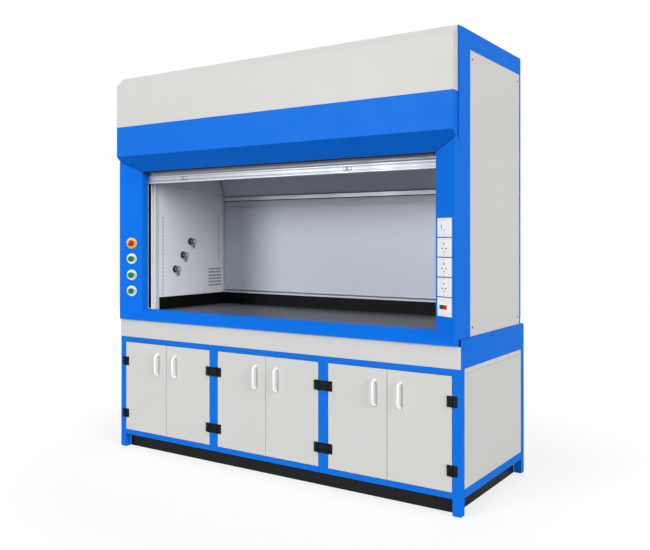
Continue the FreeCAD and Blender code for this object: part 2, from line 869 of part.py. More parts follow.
def sash_guides():
    """Double channels for the two sash leaves."""
    half = leaf_depth / 2 + guide_clear
    z0, z1 = sill_top, shaft_z - sheave_r - 4 * sheave_rim
    back = liner_front - 2 * guide_lip
    channel = block(guide_in, guide_base, lower_leaf_y - half - guide_lip, back, z0, z1)
    for y in (lower_leaf_y, upper_leaf_y):
        channel = channel.cut(block(guide_in, guide_base - guide_lip, y - half, y + half, z0, z1))
    lip_block = block(guide_in, guide_base, sill_back, back, worktop_top, sill_top)
    foot = lip_block.cut(block(0, guide_in, 0, sill_back, 0, sill_top))
    return both_sides([fused([channel, foot])])


def sash_leaf(y, z0, bottom_rail):
    """The frame and the glass of one sash leaf."""
    z1 = z0 + leaf_height
    half = leaf_depth / 2
    out = stile_in + stile_width
    g = glass_thickness / 2
    pane = block(-stile_in - glass_bite, stile_in + glass_bite, y - g, y + g,
                 z0 + bottom_rail - min(glass_bite, bottom_rail / 2), z1 - top_rail + glass_bite)
    pieces = both_sides([block(stile_in, out, y - half, y + half, z0, z1)])
    rail_half = half - leaf_step
    pieces.append(block(-stile_in, stile_in, y - rail_half, y + rail_half, z1 - top_rail, z1))
    if bottom_rail < handle_height:
        pieces.append(block(-stile_in, stile_in, y - rail_half, y + rail_half, z0, z0 + bottom_rail))
    frame = [p.cut(pane) for p in pieces]
    return frame, pane


def sash_handle(pane):
    """The aluminium handle rail: a deep extrusion with a proud lip along its top and a lesser one below."""
    z = sash_raised
    top = z + handle_height
    back = lower_leaf_y + leaf_depth / 2 - leaf_step
    crest = lower_leaf_y - leaf_depth / 2 + leaf_step
    nose = handle_front
    inner = nose + handle_recess
    lip_top = top - handle_slope
    lip_low = lip_top - handle_lip
    foot = z + handle_foot_lip
    edge = handle_edge
    outline = [(nose + edge, z), (back, z), (back, top), (crest, top), (nose, lip_top), (nose, lip_low),
               (inner, lip_low - edge), (inner, foot + edge), (nose, foot), (nose, z + edge)]
    half = guide_in - guide_clear * 4
    front = opening_half - guide_clear * 4
    rail = prism_x(outline, -half, half)
    trim = block(front, half, 0, crest, z, top)
    rail = rail.cut(trim).cut(mirrored(trim))
    upper = top + rail_flange_height
    under = upper - rail_flange_lip
    proud = crest - rail_flange_lip
    behind = crest + rail_flange
    outline = [(crest, top), (behind, top), (behind, upper), (proud, upper), (proud, under), (crest, under)]
    flange = prism_x(outline, -front, front)
    return fused([rail.cut(pane), flange])


def rail_end_caps():
    """Two end blocks on the handle rail, each with a square hole for the seal's end."""
    top = sash_raised + handle_height
    crest = lower_leaf_y - leaf_depth / 2 + leaf_step
    y0 = crest - end_cap_depth
    x1 = opening_half - guide_clear * 4
    x0 = x1 - end_cap_width
    hole = end_cap_hole / 2
    middle_x = (x0 + x1) / 2
    middle_z = top + end_cap_height / 2
    cap = block(x0, x1, y0, crest, top, top + end_cap_height)
    cap = cap.cut(block(middle_x - hole, middle_x + hole, y0, y0 + end_cap_depth / 2,
                        middle_z - hole, middle_z + hole))
    return both_sides([cap])


def finger_pulls():
    """Two oval pulls in the handle rail's recess, each a round boss with a wing across it."""
    y = handle_front + handle_recess
    z = sash_raised + pull_height
    pieces = []
    for x in pull_places:
        boss = cylinder(x, y - pull_boss, z, pull_r, pull_boss, V(0, 1, 0))
        wing = block(x - pull_half, x + pull_half, y - pull_wing, y, z - pull_r / 2, z + pull_r / 2)
        pieces.append(fused([boss, wing]))
    return pieces


def sheave(x, pitch_r):
    """A wheel with a V groove on the shaft; the cable lies in the groove at the pitch radius."""
    bottom = pitch_r - groove_drop
    rim = pitch_r + sheave_rim
    h = sheave_width / 2
    profile = [(-h, shaft_r), (-h, rim), (0, bottom), (h, rim), (h, shaft_r)]
    return revolved_x(profile, x, shaft_y, shaft_z)


def pulley_shaft():
    """The anti-racking shaft with a large and a small sheave at each end."""
    shaft = cylinder(-shaft_half, shaft_y, shaft_z, shaft_r, 2 * shaft_half, V(1, 0, 0))
    wheels = both_sides([sheave(lower_cable_x, sheave_r), sheave(upper_cable_x, drum_r)])
    return [shaft] + wheels


def pulley_brackets():
    """Bearing plates that hang from the roof, at both ends and in the middle."""
    pieces = []
    bore = cylinder(-half_base, shaft_y, shaft_z, shaft_r + running_clearance, base_width, V(1, 0, 0))
    z1 = roof_under
    wide = bracket_half
    nose = bracket_nose
    reach = bracket_foot_reach
    for x in (-shaft_half + bracket_plate, 0, shaft_half - 2 * bracket_plate):
        low = shaft_z - nose
        outline = [(shaft_y - wide, z1), (shaft_y - nose, low), (shaft_y + nose, low), (shaft_y + wide, z1)]
        plate = prism_x(outline, x, x + bracket_plate)
        end = x + bracket_plate + reach
        flange = block(x - reach, end, shaft_y - wide, shaft_y + wide, z1 - bracket_foot, z1)
        pieces.append(fused([plate, flange]).cut(bore))
    return pieces


def cable(x, pitch_r, anchor_z, side, sweep):
    """An upright cable with its lie round the sheave. side -1 is the front run, +1 the rear run."""
    y = shaft_y + side * pitch_r
    r = cable_r
    run = cylinder(x, y, anchor_z, r, shaft_z - anchor_z)
    corners = [V(x, y - r, shaft_z), V(x + r, y, shaft_z), V(x, y + r, shaft_z), V(x - r, y, shaft_z)]
    section = Part.Face(Part.makePolygon(corners + corners[:1]))
    lie = section.revolve(V(x, shaft_y, shaft_z), V(1, 0, 0), side * sweep)
    return run.fuse(lie)


def weight_length(mass):
    """The length of one counterweight: both together balance the lower leaf and half the upper."""
    return mass / 2 / (weight_x * weight_y * iron_density)


def counterweights(length):
    """Two cast bars behind the guides with a lifting eye each."""
    y = shaft_y + sheave_r
    x = lower_cable_x
    top = weight_bottom + length
    bar = block(x - weight_x / 2, x + weight_x / 2, y - weight_y / 2, y + weight_y / 2, weight_bottom, top)
    bar = bar.makeChamfer(weight_chamfer, [e for e in bar.Edges if abs(e.BoundBox.ZLength - length) < near])
    eye = cylinder(x, y, top, eye_r, eye_length)
    return both_sides([fused([bar, eye])])


def service_nozzles():
    """Chrome outlets on the left wall: flange, six-sided body and a tapering outlet that points down."""
    pieces = []
    x = -liner_half
    corner_r = nozzle_flats / 2 / math.cos(math.radians(30))
    lean = math.radians(nozzle_turn)
    down = V(0, math.sin(lean), -math.cos(lean))
    for y, z in nozzle_places:
        flange = cylinder(x, y, z, nozzle_flange_r, nozzle_flange, V(1, 0, 0))
        corners = [math.radians(60 * i) + lean for i in range(6)]
        body = prism_x([(y + corner_r * math.cos(a), z + corner_r * math.sin(a)) for a in corners],
                       x + nozzle_flange, x + nozzle_length)
        start = V(x + nozzle_tip_at, y, z) + down * (nozzle_flats / 2)
        tip = Part.makeCone(nozzle_tip_r, nozzle_mouth_r, nozzle_tip_length, start, down)
        pieces.append(fused([flange, body, tip]))
    return pieces


def control_bezels():
    """Round bezels on the left foil, each with a bush through the foil for its spindle."""
    pieces = []
    r = bezel_r
    bush_r = bezel_bore_r + bezel_wall
    for z in [stop_height] + valve_heights:
        t = bezel_thickness
        bezel = turned([(bezel_bore_r, t), (r - bezel_edge, t), (r, 0), (bush_r, 0),
                        (bush_r, -bush_depth), (bezel_bore_r, -bush_depth)])
        pieces.append(on_foil(bezel, -1, z))
    return pieces


def spindle_depth():
    return bush_depth - spindle_end_gap


def stop_head():
    """The red mushroom head with its stem."""
    gap = bezel_thickness + stop_travel + knob_gap
    dome = [(0.85, 0), (1, 0.35), (0.9, 0.75), (0, 1)]
    low = -spindle_depth()
    head = turned([(0, low), (spindle_r, low), (spindle_r, gap)] +
                  [(stop_r * a, gap + stop_dome * b) for a, b in dome])
    return on_foil(head, -1, stop_height)


def valve_knob(z):
    """A six-sided knob with a bevelled top and a pointer rib, on its spindle."""
    gap = bezel_thickness + knob_gap
    top = gap + knob_height
    spindle = cylinder(0, 0, -spindle_depth(), spindle_r, spindle_depth() + gap)
    corners = [math.radians(60 * i) for i in range(6)]
    grip = prism_z([(knob_r * math.cos(a), knob_r * math.sin(a)) for a in corners], gap, top)
    grip = grip.makeChamfer(knob_edge, [e for e in grip.Edges if e.BoundBox.ZMin > top - near])
    rib = block(-pointer_half, pointer_half, 0, knob_r * 0.7, top - pointer_half, top + pointer_half)
    return on_foil(fused([spindle, grip, rib]), -1, z)


def plate_height_at(i):
    return sill_top + plates_above_sill - i * plate_pitch


def plate_body():
    """A bevelled wall plate with its back box."""
    half_w = plate_width / 2
    half_h = plate_height / 2
    rim = block(-half_w, half_w, -half_h, half_h, 0, plate_thickness)
    top_edges = [e for e in rim.Edges if e.BoundBox.ZMin > plate_thickness - near]
    rim = rim.makeChamfer(plate_bevel, top_edges)
    box = block(-box_width / 2, box_width / 2, -box_height / 2, box_height / 2, -box_depth, 0)
    return rim.fuse(box)


def socket_plates():
    """Five plates on the right foil: rotary switch, three outlets and the button plate."""
    low = -selector_stem - knob_gap
    top_plate = plate_body().cut(cylinder(0, 0, low, plate_bore_r, plate_thickness - low))
    outlet = plate_body()
    for x, y, half_w, half_h in pin_slots:
        outlet = outlet.cut(block(x - half_w, x + half_w, y - half_h, y + half_h, plate_thickness - pin_depth,
                                  plate_thickness))
    button_plate = plate_body()
    for side in (-1, 1):
        button_plate = button_plate.cut(button_well(side))
    plates = [top_plate, outlet, outlet, outlet, button_plate]
    return [on_foil(p, 1, plate_height_at(i)) for i, p in enumerate(plates)]


def button_well(side):
    w = button_width / 2 + button_gap
    h = button_height / 2 + button_gap
    x = side * button_side / 2
    return block(x - w, x + w, -h, h, plate_thickness - well_depth, plate_thickness)


def push_button(side):
    """A square push-button in its well, with bevelled edges."""
    w = button_width / 2
    h = button_height / 2
    x = side * button_side / 2
    top = plate_thickness + button_proud
    low = plate_thickness - well_depth + button_travel + button_gap
    body = block(x - w, x + w, -h, h, low, top)
    body = body.makeChamfer(button_edge, [e for e in body.Edges if e.BoundBox.ZMin > top - near])
    return on_foil(body, 1, plate_height_at(4))


def selector_knob():
    """The rotary switch: a round skirt with a grip bar across it."""
    z0 = plate_thickness + knob_gap
    r = selector_r
    stem_r = plate_bore_r - running_clearance
    body = turned([(0, -selector_stem), (stem_r, -selector_stem), (stem_r, z0), (r, z0),
                   (r * 0.85, z0 + selector_skirt), (0, z0 + selector_skirt)])
    half = selector_grip / 2
    top = z0 + selector_height
    grip = block(-half, half, -r, r + half, z0 + selector_skirt / 2, top)
    grip = grip.makeChamfer(half / 2, [e for e in grip.Edges if e.BoundBox.ZMin > top - near])
    return on_foil(body.fuse(grip), 1, plate_height_at(0))


save("base_frame", base_frame())
save("base_side_panels", base_side_panels())
save("back_panels", back_panels())
save("cupboard_panels", cupboard_panels())
save("plinth", plinth())
save("apron_panel", apron_panel())
save("hinge_post_leaves", [hinge_post_leaf(i, z) for i in range(6) for z in hinge_heights()])
for i in range(6):
    number = str(i + 1)
    save("door_" + number, [door(i)])
    save("door_handle_" + number, [bow_handle(i)])
    save("door_hinge_leaves_" + number, [hinge_door_leaf(i, z) for z in hinge_heights()])

save("front_posts", front_posts())
save("upper_frame", upper_frame())
save("upper_side_panels", upper_side_panels())
save("roof_panel", roof_panel())
save("duct_collars", duct_collars())
save("front_top_panel", front_top_panel())
save("fascia_header", fascia_header())
save("post_foils", post_foils())
save("sill_foil", sill_foil())

save("worktop", worktop())
save("chamber_liner", chamber_liner())
save("baffles", baffles())
save("light_fixture", light_fixture())
save("service_nozzles", service_nozzles())
save("sash_guides", sash_guides())

lower_frame, lower_pane = sash_leaf(lower_leaf_y, sash_raised, handle_height)
upper_sash_frame, upper_pane = sash_leaf(upper_leaf_y, upper_raised, upper_bottom_rail)
handle_rail = sash_handle(lower_pane)
save("sash_lower_frame", lower_frame)
save("sash_lower_glass", [lower_pane])
save("sash_handle", [handle_rail] + rail_end_caps() + finger_pulls())
save("sash_upper_frame", upper_sash_frame)
save("sash_upper_glass", [upper_pane])

lower_mass = lower_pane.Volume * glass_density
lower_mass += (handle_rail.Volume + sum(p.Volume for p in lower_frame)) * aluminium_density
upper_mass = upper_pane.Volume * glass_density + sum(p.Volume for p in upper_sash_frame) * aluminium_density
weight_bar = weight_length(lower_mass + upper_mass * drum_r / sheave_r)
print("sash masses", lower_mass, upper_mass, "weight bar length", weight_bar)
save("counterweights", counterweights(weight_bar))
save("pulley_shaft", pulley_shaft())
save("pulley_brackets", pulley_brackets())
save("sash_cables", both_sides([cable(lower_cable_x, sheave_r, sash_raised + leaf_height, -1, 90)]))
save("upper_sash_cables", both_sides([cable(upper_cable_x, drum_r, upper_raised + leaf_height, -1, 180)]))
eye_top = weight_bottom + weight_bar + eye_length
save("weight_cables", both_sides([cable(lower_cable_x, sheave_r, eye_top, 1, 90)]))

save("control_bezels", control_bezels())
save("stop_head", [stop_head()])
for i, height in enumerate(valve_heights):
    save("valve_knob_" + str(i + 1), [valve_knob(height)])
save("socket_plates", socket_plates())
save("selector_knob", [selector_knob()])
save("button_green", [push_button(-1)])
save("button_red", [push_button(1)])
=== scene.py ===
"""Looks of a bypass fume hood on a cupboard base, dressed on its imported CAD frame.

The frame is in metres, with the front towards minus Y. Small sizes are given in millimetres, times MM.
"""

import bpy
import bmesh
import json
import math
from mathutils import Matrix, Vector

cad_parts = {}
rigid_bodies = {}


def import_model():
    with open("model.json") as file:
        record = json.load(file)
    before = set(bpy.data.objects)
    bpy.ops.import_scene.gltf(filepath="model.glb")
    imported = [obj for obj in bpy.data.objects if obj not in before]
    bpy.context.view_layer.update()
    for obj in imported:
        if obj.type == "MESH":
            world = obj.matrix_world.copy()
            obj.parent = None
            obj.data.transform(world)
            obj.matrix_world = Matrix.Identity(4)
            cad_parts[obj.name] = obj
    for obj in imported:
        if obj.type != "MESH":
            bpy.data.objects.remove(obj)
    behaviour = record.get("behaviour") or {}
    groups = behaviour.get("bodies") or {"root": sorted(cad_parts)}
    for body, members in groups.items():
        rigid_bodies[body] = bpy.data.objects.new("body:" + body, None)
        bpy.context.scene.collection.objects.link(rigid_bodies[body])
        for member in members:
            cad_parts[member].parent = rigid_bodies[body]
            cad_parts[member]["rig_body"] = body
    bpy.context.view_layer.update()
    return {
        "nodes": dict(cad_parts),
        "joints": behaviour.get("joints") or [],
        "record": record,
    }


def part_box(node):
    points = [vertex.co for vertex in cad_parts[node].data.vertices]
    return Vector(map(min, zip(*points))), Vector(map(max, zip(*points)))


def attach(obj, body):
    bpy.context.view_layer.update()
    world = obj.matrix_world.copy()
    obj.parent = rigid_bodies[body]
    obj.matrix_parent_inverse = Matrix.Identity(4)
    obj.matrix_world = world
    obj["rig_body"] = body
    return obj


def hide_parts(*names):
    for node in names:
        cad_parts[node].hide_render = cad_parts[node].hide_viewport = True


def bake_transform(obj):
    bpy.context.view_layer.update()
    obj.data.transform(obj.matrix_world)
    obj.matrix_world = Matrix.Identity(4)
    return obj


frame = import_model()
nodes = frame["nodes"]
joints = {joint["name"]: joint for joint in frame["joints"]}
MM = 0.001

# The photograph's frame and the camera that was fitted to it
PHOTO_WIDTH = 650
PHOTO_HEIGHT = 550
FOCAL_PIXELS = 773.7
HORIZON_ROW = 238.4
CAMERA_PLACE = (2.729, -3.918, 1.358)
CAMERA_TURN = math.radians(33.6)
SENSOR_WIDTH = 36
CAMERA_REACH = 60

# The two soft lights: where each comes from, its strength and how wide it looks
FRONT_LIGHT_FROM = (-0.50, -1.0, 0.26)
FRONT_LIGHT_LEVEL = 1.72
FRONT_LIGHT_WIDTH = math.radians(22)
SIDE_LIGHT_FROM = (1.0, -0.32, 0.28)
SIDE_LIGHT_LEVEL = 1.98
SIDE_LIGHT_WIDTH = math.radians(34)
LAMP_DISTANCE = 5

# The even light all round, and how much of the white surroundings shows in glossy reflections
WORLD_LEVEL = 0.41
GLOSSY_SHARE = 0.3

# The floor: its reach, its thickness, the gap under the object, its grey, and its glow to the camera, which
# grows from the one level to the other between two distances from the middle
FLOOR_REACH = 9
FLOOR_THICKNESS = 0.05
FLOOR_GAP = 0.0005
FLOOR_GREY = (0.34, 0.34, 0.34, 1)
GLOW_INSIDE, GLOW_OUTSIDE = 0.74, 1.0
GLOW_FROM, GLOW_TO = 1.5, 4.0

# Colours, as linear light
BLUE = (0.004, 0.172, 0.78)
LIGHT = (0.665, 0.665, 0.645)
BLACK_PAINT = (0.010, 0.011, 0.012)
GALVANISED = (0.56, 0.57, 0.58)
BOARD = (0.86, 0.87, 0.90)
BAFFLE = (0.56, 0.61, 0.70)
MELAMINE = (0.72, 0.72, 0.70)
BLACK_TOP = (0.0045, 0.0045, 0.0055)
BLACK_PLASTIC = (0.006, 0.006, 0.006)
WHITE_PLASTIC = (0.96, 0.96, 0.96)
CREAM = (0.86, 0.83, 0.76)
YELLOW = (0.85, 0.55, 0.01)
RED = (0.64, 0.008, 0.014)
GREEN = (0.001, 0.23, 0.075)
DARK_GREEN = (0.001, 0.10, 0.045)
ALUMINIUM = (0.53, 0.55, 0.59)
BAR_SKIN = (0.74, 0.76, 0.80)
CHROME = (0.72, 0.73, 0.75)
# Chrome for the nozzle bodies, darkened as a painted reflection of dark surroundings
CHROME_PAINTED_DARK = (0.16, 0.165, 0.17)
ZINC = (0.62, 0.62, 0.60)
GLASS = (0.90, 0.95, 0.94)
CAST_IRON = (0.10, 0.10, 0.105)
STEEL = (0.52, 0.52, 0.53)
DARK = (0.008, 0.008, 0.009)
LENS = (0.86, 0.87, 0.87)

# Sizes of the CAD that its boxes don't give, in millimetres. Depths are measured from the front plane of the
# base frame, which lies FRONT_TO_MIDDLE in front of the frame's origin
FRONT_TO_MIDDLE = 423.75
RAIL_UNDERSIDE = 83
MID_POST_REACH = 1100
HINGE_HEIGHT = 55
HINGE_LEAF_REACH = 27.5
BACK_SHEET_INSET = 30
LINER_FACE = 1015
GRILLE_DEPTH, GRILLE_FOOT = 641, 1022
GRILLE_COLUMNS, GRILLE_ROWS = 9, 6
GRILLE_PITCH_Y, GRILLE_PITCH_Z = 15, 23
GRILLE_SLOT_Y, GRILLE_SLOT_Z = 10, 7
NOZZLE_PLACES = ((309, 1151), (383, 1245), (456, 1337))
NOZZLE_TURN = math.radians(14)
NOZZLE_TIP_AT = 24
NOZZLE_COLLAR_AT = 38
BAR_HALF, BAR_FRONT = 1006.5, 798
BAFFLE_FRONT = 800
BAFFLE_CAPS_X, BAFFLE_CAPS_Z = (-806, 0, 806), (1045, 1522)
HEADER_EDGE_Y, HEADER_EDGE_Z = 42, 1792
HEADER_HALF = 1045
FOIL_FRONT_Y, FOIL_FRONT_Z = -21.5, 1855.5
FOIL_FRONT_X = 1179
PLATE_HEIGHT = 93.5
PLATE_FACE = 9
HANDLE_HALF = 1040
HANDLE_HEIGHT = 55
HANDLE_FOOT = 1714
HANDLE_FACE = 93
PULL_PLACES = (-732, 492)
END_CAP_X, END_CAP_FACE = 1032, 89
GUIDE_SIDE, GUIDE_LIP = 1075.4, 1048.2
GUIDE_FRONT, GUIDE_BACK = 96.6, 119.4
GUIDE_FOOT = 899
DUCT_REACH = 150
DUCT_RADIUS = 125

# An edge is rounded, and shaded sharp, where the surface turns by more than these
ROUNDED_TURN = math.radians(30)
SHARP_TURN = math.radians(35)


# Materials

def material(name):
    """A new node material: the material, its node tree and its main shader."""
    made = bpy.data.materials.new(name)
    made.use_nodes = True
    tree = made.node_tree
    return made, tree, tree.nodes["Principled BSDF"]


def node(tree, kind, inputs=(), **settings):
    """Adds a node with settings, and fills inputs given as (socket, value or output)."""
    made = tree.nodes.new(kind)
    for key, value in settings.items():
        setattr(made, key, value)
    for socket, value in inputs:
        if isinstance(value, bpy.types.NodeSocket):
            tree.links.new(value, made.inputs[socket])
        else:
            made.inputs[socket].default_value = value
    return made


def fill(tree, shader, **inputs):
    """Fills inputs of a shader, each with a value or an output. Their names have underscores for spaces."""
    for key, value in inputs.items():
        socket = shader.inputs[key.replace("_", " ")]
        if isinstance(value, bpy.types.NodeSocket):
            tree.links.new(value, socket)
        else:
            socket.default_value = value


def places(tree, stretch=(1, 1, 1)):
    """The object's own coordinates, in metres, stretched along each axis."""
    coordinates = node(tree, "ShaderNodeTexCoord")
    scaled = node(tree, "ShaderNodeMapping", [("Vector", coordinates.outputs["Object"]), ("Scale", stretch)])
    return scaled.outputs["Vector"]


def noise(tree, vector, scale, detail=3.0, roughness=0.5):
    """A cloudy factor."""
    made = node(tree, "ShaderNodeTexNoise",
                [("Vector", vector), ("Scale", scale), ("Detail", detail), ("Roughness", roughness)])
    return made.outputs["Fac"]


def between(tree, factor, low, high, start=0.0, end=1.0):
    """Spreads a factor from start..end over low..high."""
    made = node(tree, "ShaderNodeMapRange", [("Value", factor), ("From Min", start), ("From Max", end),
                                             ("To Min", low), ("To Max", high)])
    return made.outputs["Result"]


def joined(tree, operation, first, second):
    """One factor from two, by a sum, a product or the like."""
    return node(tree, "ShaderNodeMath", [(0, first), (1, second)], operation=operation).outputs[0]


def tinted(tree, factor, colour, low, high):
    """The colour scaled between two shares of itself by a factor."""
    made = node(tree, "ShaderNodeMix", [("Factor", factor)], data_type="RGBA")
    made.inputs[6].default_value = (*[low * c for c in colour], 1)
    made.inputs[7].default_value = (*[high * c for c in colour], 1)
    return made.outputs[2]


def bumped(tree, height, strength, distance):
    """A normal that follows a height, with its strength and its depth in metres."""
    made = node(tree, "ShaderNodeBump", [("Height", height), ("Strength", strength), ("Distance", distance)])
    return made.outputs["Normal"]


def powder_coat(name, colour, roughness, cloud=0.035, gloss=0.5):
    """Sprayed paint: faint clouding, orange peel and uneven gloss."""
    made, tree, shader = material(name)
    where = places(tree)
    clouds = noise(tree, where, scale=2.3, detail=4)
    peel = noise(tree, where, scale=420, detail=2)
    smear = noise(tree, where, scale=9, detail=4)
    fill(tree, shader,
         Base_Color=tinted(tree, clouds, colour, low=1 - cloud, high=1 + cloud),
         Roughness=between(tree, smear, low=roughness - 0.05, high=roughness + 0.06, start=0.3, end=0.7),
         Normal=bumped(tree, peel, strength=0.16, distance=0.0004),
         Specular_IOR_Level=gloss)
    return made


def board(name, colour, speck=0.05, roughness=0.42):
    """A smooth chemical-resistant board with fine fibres."""
    made, tree, shader = material(name)
    fibres = noise(tree, places(tree, stretch=(1, 1, 5)), scale=160, detail=4)
    clouds = noise(tree, places(tree), scale=3.1, detail=3)
    mixed = joined(tree, "MULTIPLY", fibres, clouds)
    fill(tree, shader,
         Base_Color=tinted(tree, mixed, colour, low=1 - speck, high=1 + 2 * speck),
         Roughness=between(tree, clouds, low=roughness - 0.06, high=roughness + 0.06),
         Normal=bumped(tree, fibres, strength=0.12, distance=0.0003))
    return made


def cast_slab(name, colour):
    """Black epoxy worktop: glossy black edges, and a top painted lighter, to a dark grey, as a painted sheen of
    reflected light.
    """
    made, tree, shader = material(name)
    where = places(tree)
    mottle = noise(tree, where, scale=70, detail=5, roughness=0.65)
    wipes = noise(tree, where, scale=2.2, detail=3)
    normal = node(tree, "ShaderNodeNewGeometry").outputs["True Normal"]
    turned = node(tree, "ShaderNodeSeparateXYZ", [("Vector", normal)])
    upward = between(tree, turned.outputs["Z"], low=0.0, high=1.0, start=0.9, end=1.0)
    # Painted sheen: faces that point up get up to 20 times the black, a grey that stands in for reflected light
    top_painted_sheen = tinted(tree, upward, colour, low=1.0, high=20.0)
    mottled = node(tree, "ShaderNodeMix", [("Factor", mottle), (6, top_painted_sheen), (7, (0.85, 0.85, 0.85, 1))],
                   data_type="RGBA", blend_type="MULTIPLY")
    fill(tree, shader,
         Base_Color=mottled.outputs[2],
         Roughness=between(tree, wipes, low=0.44, high=0.50, start=0.35, end=0.7),
         Specular_IOR_Level=between(tree, upward, low=0.06, high=0.9))
    return made


def moulded(name, colour, roughness=0.3, texture=0.08, coat=0.0, gloss=0.5):
    """Moulded plastic with a fine spark texture."""
    made, tree, shader = material(name)
    where = places(tree)
    grain = noise(tree, where, scale=900, detail=2)
    clouds = noise(tree, where, scale=14, detail=3)
    fill(tree, shader,
         Base_Color=tinted(tree, clouds, colour, low=0.95, high=1.05),
         Roughness=between(tree, clouds, low=roughness - 0.04, high=roughness + 0.06),
         Normal=bumped(tree, grain, strength=texture, distance=0.0003),
         Coat_Weight=coat,
         Specular_IOR_Level=gloss)
    return made


def brushed(name, colour, roughness, stretch=(2, 240, 240), metal=1.0, contrast=1.0):
    """Metal with fine drawn lines along one axis."""
    made, tree, shader = material(name)
    lines = noise(tree, places(tree, stretch), scale=5, detail=4, roughness=0.6)
    clouds = noise(tree, places(tree), scale=7, detail=3)
    fill(tree, shader,
         Base_Color=tinted(tree, lines, colour, low=1 - 0.12 * contrast, high=1 + 0.08 * contrast),
         Roughness=between(tree, clouds, low=roughness - 0.07, high=roughness + 0.08, start=0.3, end=0.7),
         Normal=bumped(tree, lines, strength=0.10 * contrast, distance=0.0002),
         Metallic=metal)
    return made


def spangled(name, colour):
    """Galvanised sheet with its zinc spangles."""
    made, tree, shader = material(name)
    cells = node(tree, "ShaderNodeTexVoronoi",
                 [("Vector", places(tree)), ("Scale", 95.0), ("Randomness", 1.0)])
    parts = node(tree, "ShaderNodeSeparateColor", [("Color", cells.outputs["Color"])])
    fill(tree, shader,
         Base_Color=tinted(tree, parts.outputs["Red"], colour, low=0.78, high=1.12),
         Roughness=between(tree, parts.outputs["Green"], low=0.32, high=0.55),
         Metallic=0.9)
    return made


def rough_cast(name, colour):
    """Sand-cast iron under thin black paint."""
    made, tree, shader = material(name)
    where = places(tree)
    grit = noise(tree, where, scale=260, detail=6, roughness=0.7)
    rust = noise(tree, where, scale=18, detail=5, roughness=0.6)
    fill(tree, shader,
         Base_Color=tinted(tree, rust, colour, low=0.6, high=1.4),
         Roughness=between(tree, grit, low=0.55, high=0.8),
         Normal=bumped(tree, grit, strength=0.5, distance=0.001),
         Metallic=0.4)
    return made


def plated(name, colour, roughness=0.09):
    """Bright plating with faint handling marks."""
    made, tree, shader = material(name)
    marks = noise(tree, places(tree), scale=60, detail=4)
    fill(tree, shader,
         Base_Color=tinted(tree, marks, colour, low=0.94, high=1.04),
         Roughness=between(tree, marks, low=roughness - 0.03, high=roughness + 0.06),
         Metallic=1.0)
    return made


def clear_glass(name, colour):
    """Toughened sash glass with a very faint film."""
    made, tree, shader = material(name)
    film = noise(tree, places(tree), scale=6, detail=4)
    fill(tree, shader,
         Base_Color=tinted(tree, film, colour, low=0.99, high=1.03),
         Roughness=between(tree, film, low=0.0, high=0.006, start=0.4, end=0.7),
         Transmission_Weight=1.0,
         IOR=1.45)
    return made


def stranded(name, colour):
    """Wire rope: dark lines that wind round the cable."""
    made, tree, shader = material(name)
    waves = node(tree, "ShaderNodeTexWave",
                 [("Vector", places(tree, stretch=(1, 1, 0.6))), ("Scale", 260.0), ("Distortion", 0.4)],
                 bands_direction="DIAGONAL").outputs["Fac"]
    fill(tree, shader,
         Base_Color=tinted(tree, waves, colour, low=0.45, high=1.1),
         Roughness=0.38,
         Normal=bumped(tree, waves, strength=0.6, distance=0.0004),
         Metallic=1.0)
    return made


blue = powder_coat("blue_paint", BLUE, roughness=0.42, gloss=0.05)
light = powder_coat("light_paint", LIGHT, roughness=0.42, gloss=0.2)
black_paint = powder_coat("black_paint", BLACK_PAINT, roughness=0.4, cloud=0.2, gloss=0.15)
galvanised = spangled("galvanised", GALVANISED)
liner_board = board("liner_board", BOARD)
baffle_board = board("baffle_board", BAFFLE, speck=0.03, roughness=0.36)
melamine = board("melamine", MELAMINE, roughness=0.3)
black_top = cast_slab("black_top", BLACK_TOP)
black_plastic = moulded("black_plastic", BLACK_PLASTIC, roughness=0.42, texture=0.2, gloss=0.15)
white_plastic = moulded("white_plastic", WHITE_PLASTIC, roughness=0.24, coat=0.2)
cream_plastic = moulded("cream_plastic", CREAM)
yellow_plastic = moulded("yellow_plastic", YELLOW, roughness=0.32)
red_plastic = moulded("red_plastic", RED, roughness=0.26, gloss=0.3)
green_plastic = moulded("green_plastic", GREEN, roughness=0.26, gloss=0.25)
dark_green = moulded("dark_green", DARK_GREEN, gloss=0.2)
dark_plastic = moulded("dark_plastic", DARK, roughness=0.6, gloss=0.12)
aluminium = brushed("aluminium", ALUMINIUM, roughness=0.42, metal=0.3, contrast=0.12)
bar_skin = brushed("bar_skin", BAR_SKIN, roughness=0.40, metal=0.6, contrast=0.15)
chrome = plated("chrome", CHROME)
chrome_painted_dark = plated("chrome_painted_dark", CHROME_PAINTED_DARK, roughness=0.12)
glass = clear_glass("sash_glass", GLASS)
cast_iron = rough_cast("cast_iron", CAST_IRON)
steel = brushed("steel", STEEL, roughness=0.28, stretch=(240, 6, 240))
rope = stranded("wire_rope", STEEL)
lens = moulded("opal_lens", LENS, roughness=0.45)
zinc = plated("zinc_screw", ZINC, roughness=0.26)


# Mesh helpers

def mm(x, y, z):
    """A place given in millimetres."""
    return Vector((x * MM, y * MM, z * MM))


def from_front(x, y, z):
    """A place given in millimetres, with its depth measured from the front plane of the base frame."""
    return mm(x, y - FRONT_TO_MIDDLE, z)


def link(name, mesh):
    """A new object in the scene."""
    made = bpy.data.objects.new(name, mesh)
    bpy.context.scene.collection.objects.link(made)
    return made


def shade(mesh):
    """Smooth shading, with sharp edges kept."""
    mesh.shade_smooth()
    mesh.set_sharp_from_angle(angle=SHARP_TURN)


def piece(name, form, surface, body, bevel=0.0, replaces=()):
    """Turns a bmesh into an object on a CAD body, with its material and rounded edges."""
    mesh = bpy.data.meshes.new(name)
    bmesh.ops.recalc_face_normals(form, faces=form.faces)
    form.to_mesh(mesh)
    form.free()
    made = link(name, mesh)
    mesh.materials.append(surface)
    if bevel:
        round_edges(made, bevel)
    shade(mesh)
    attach(made, body)
    if replaces:
        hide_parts(*replaces)
    return made


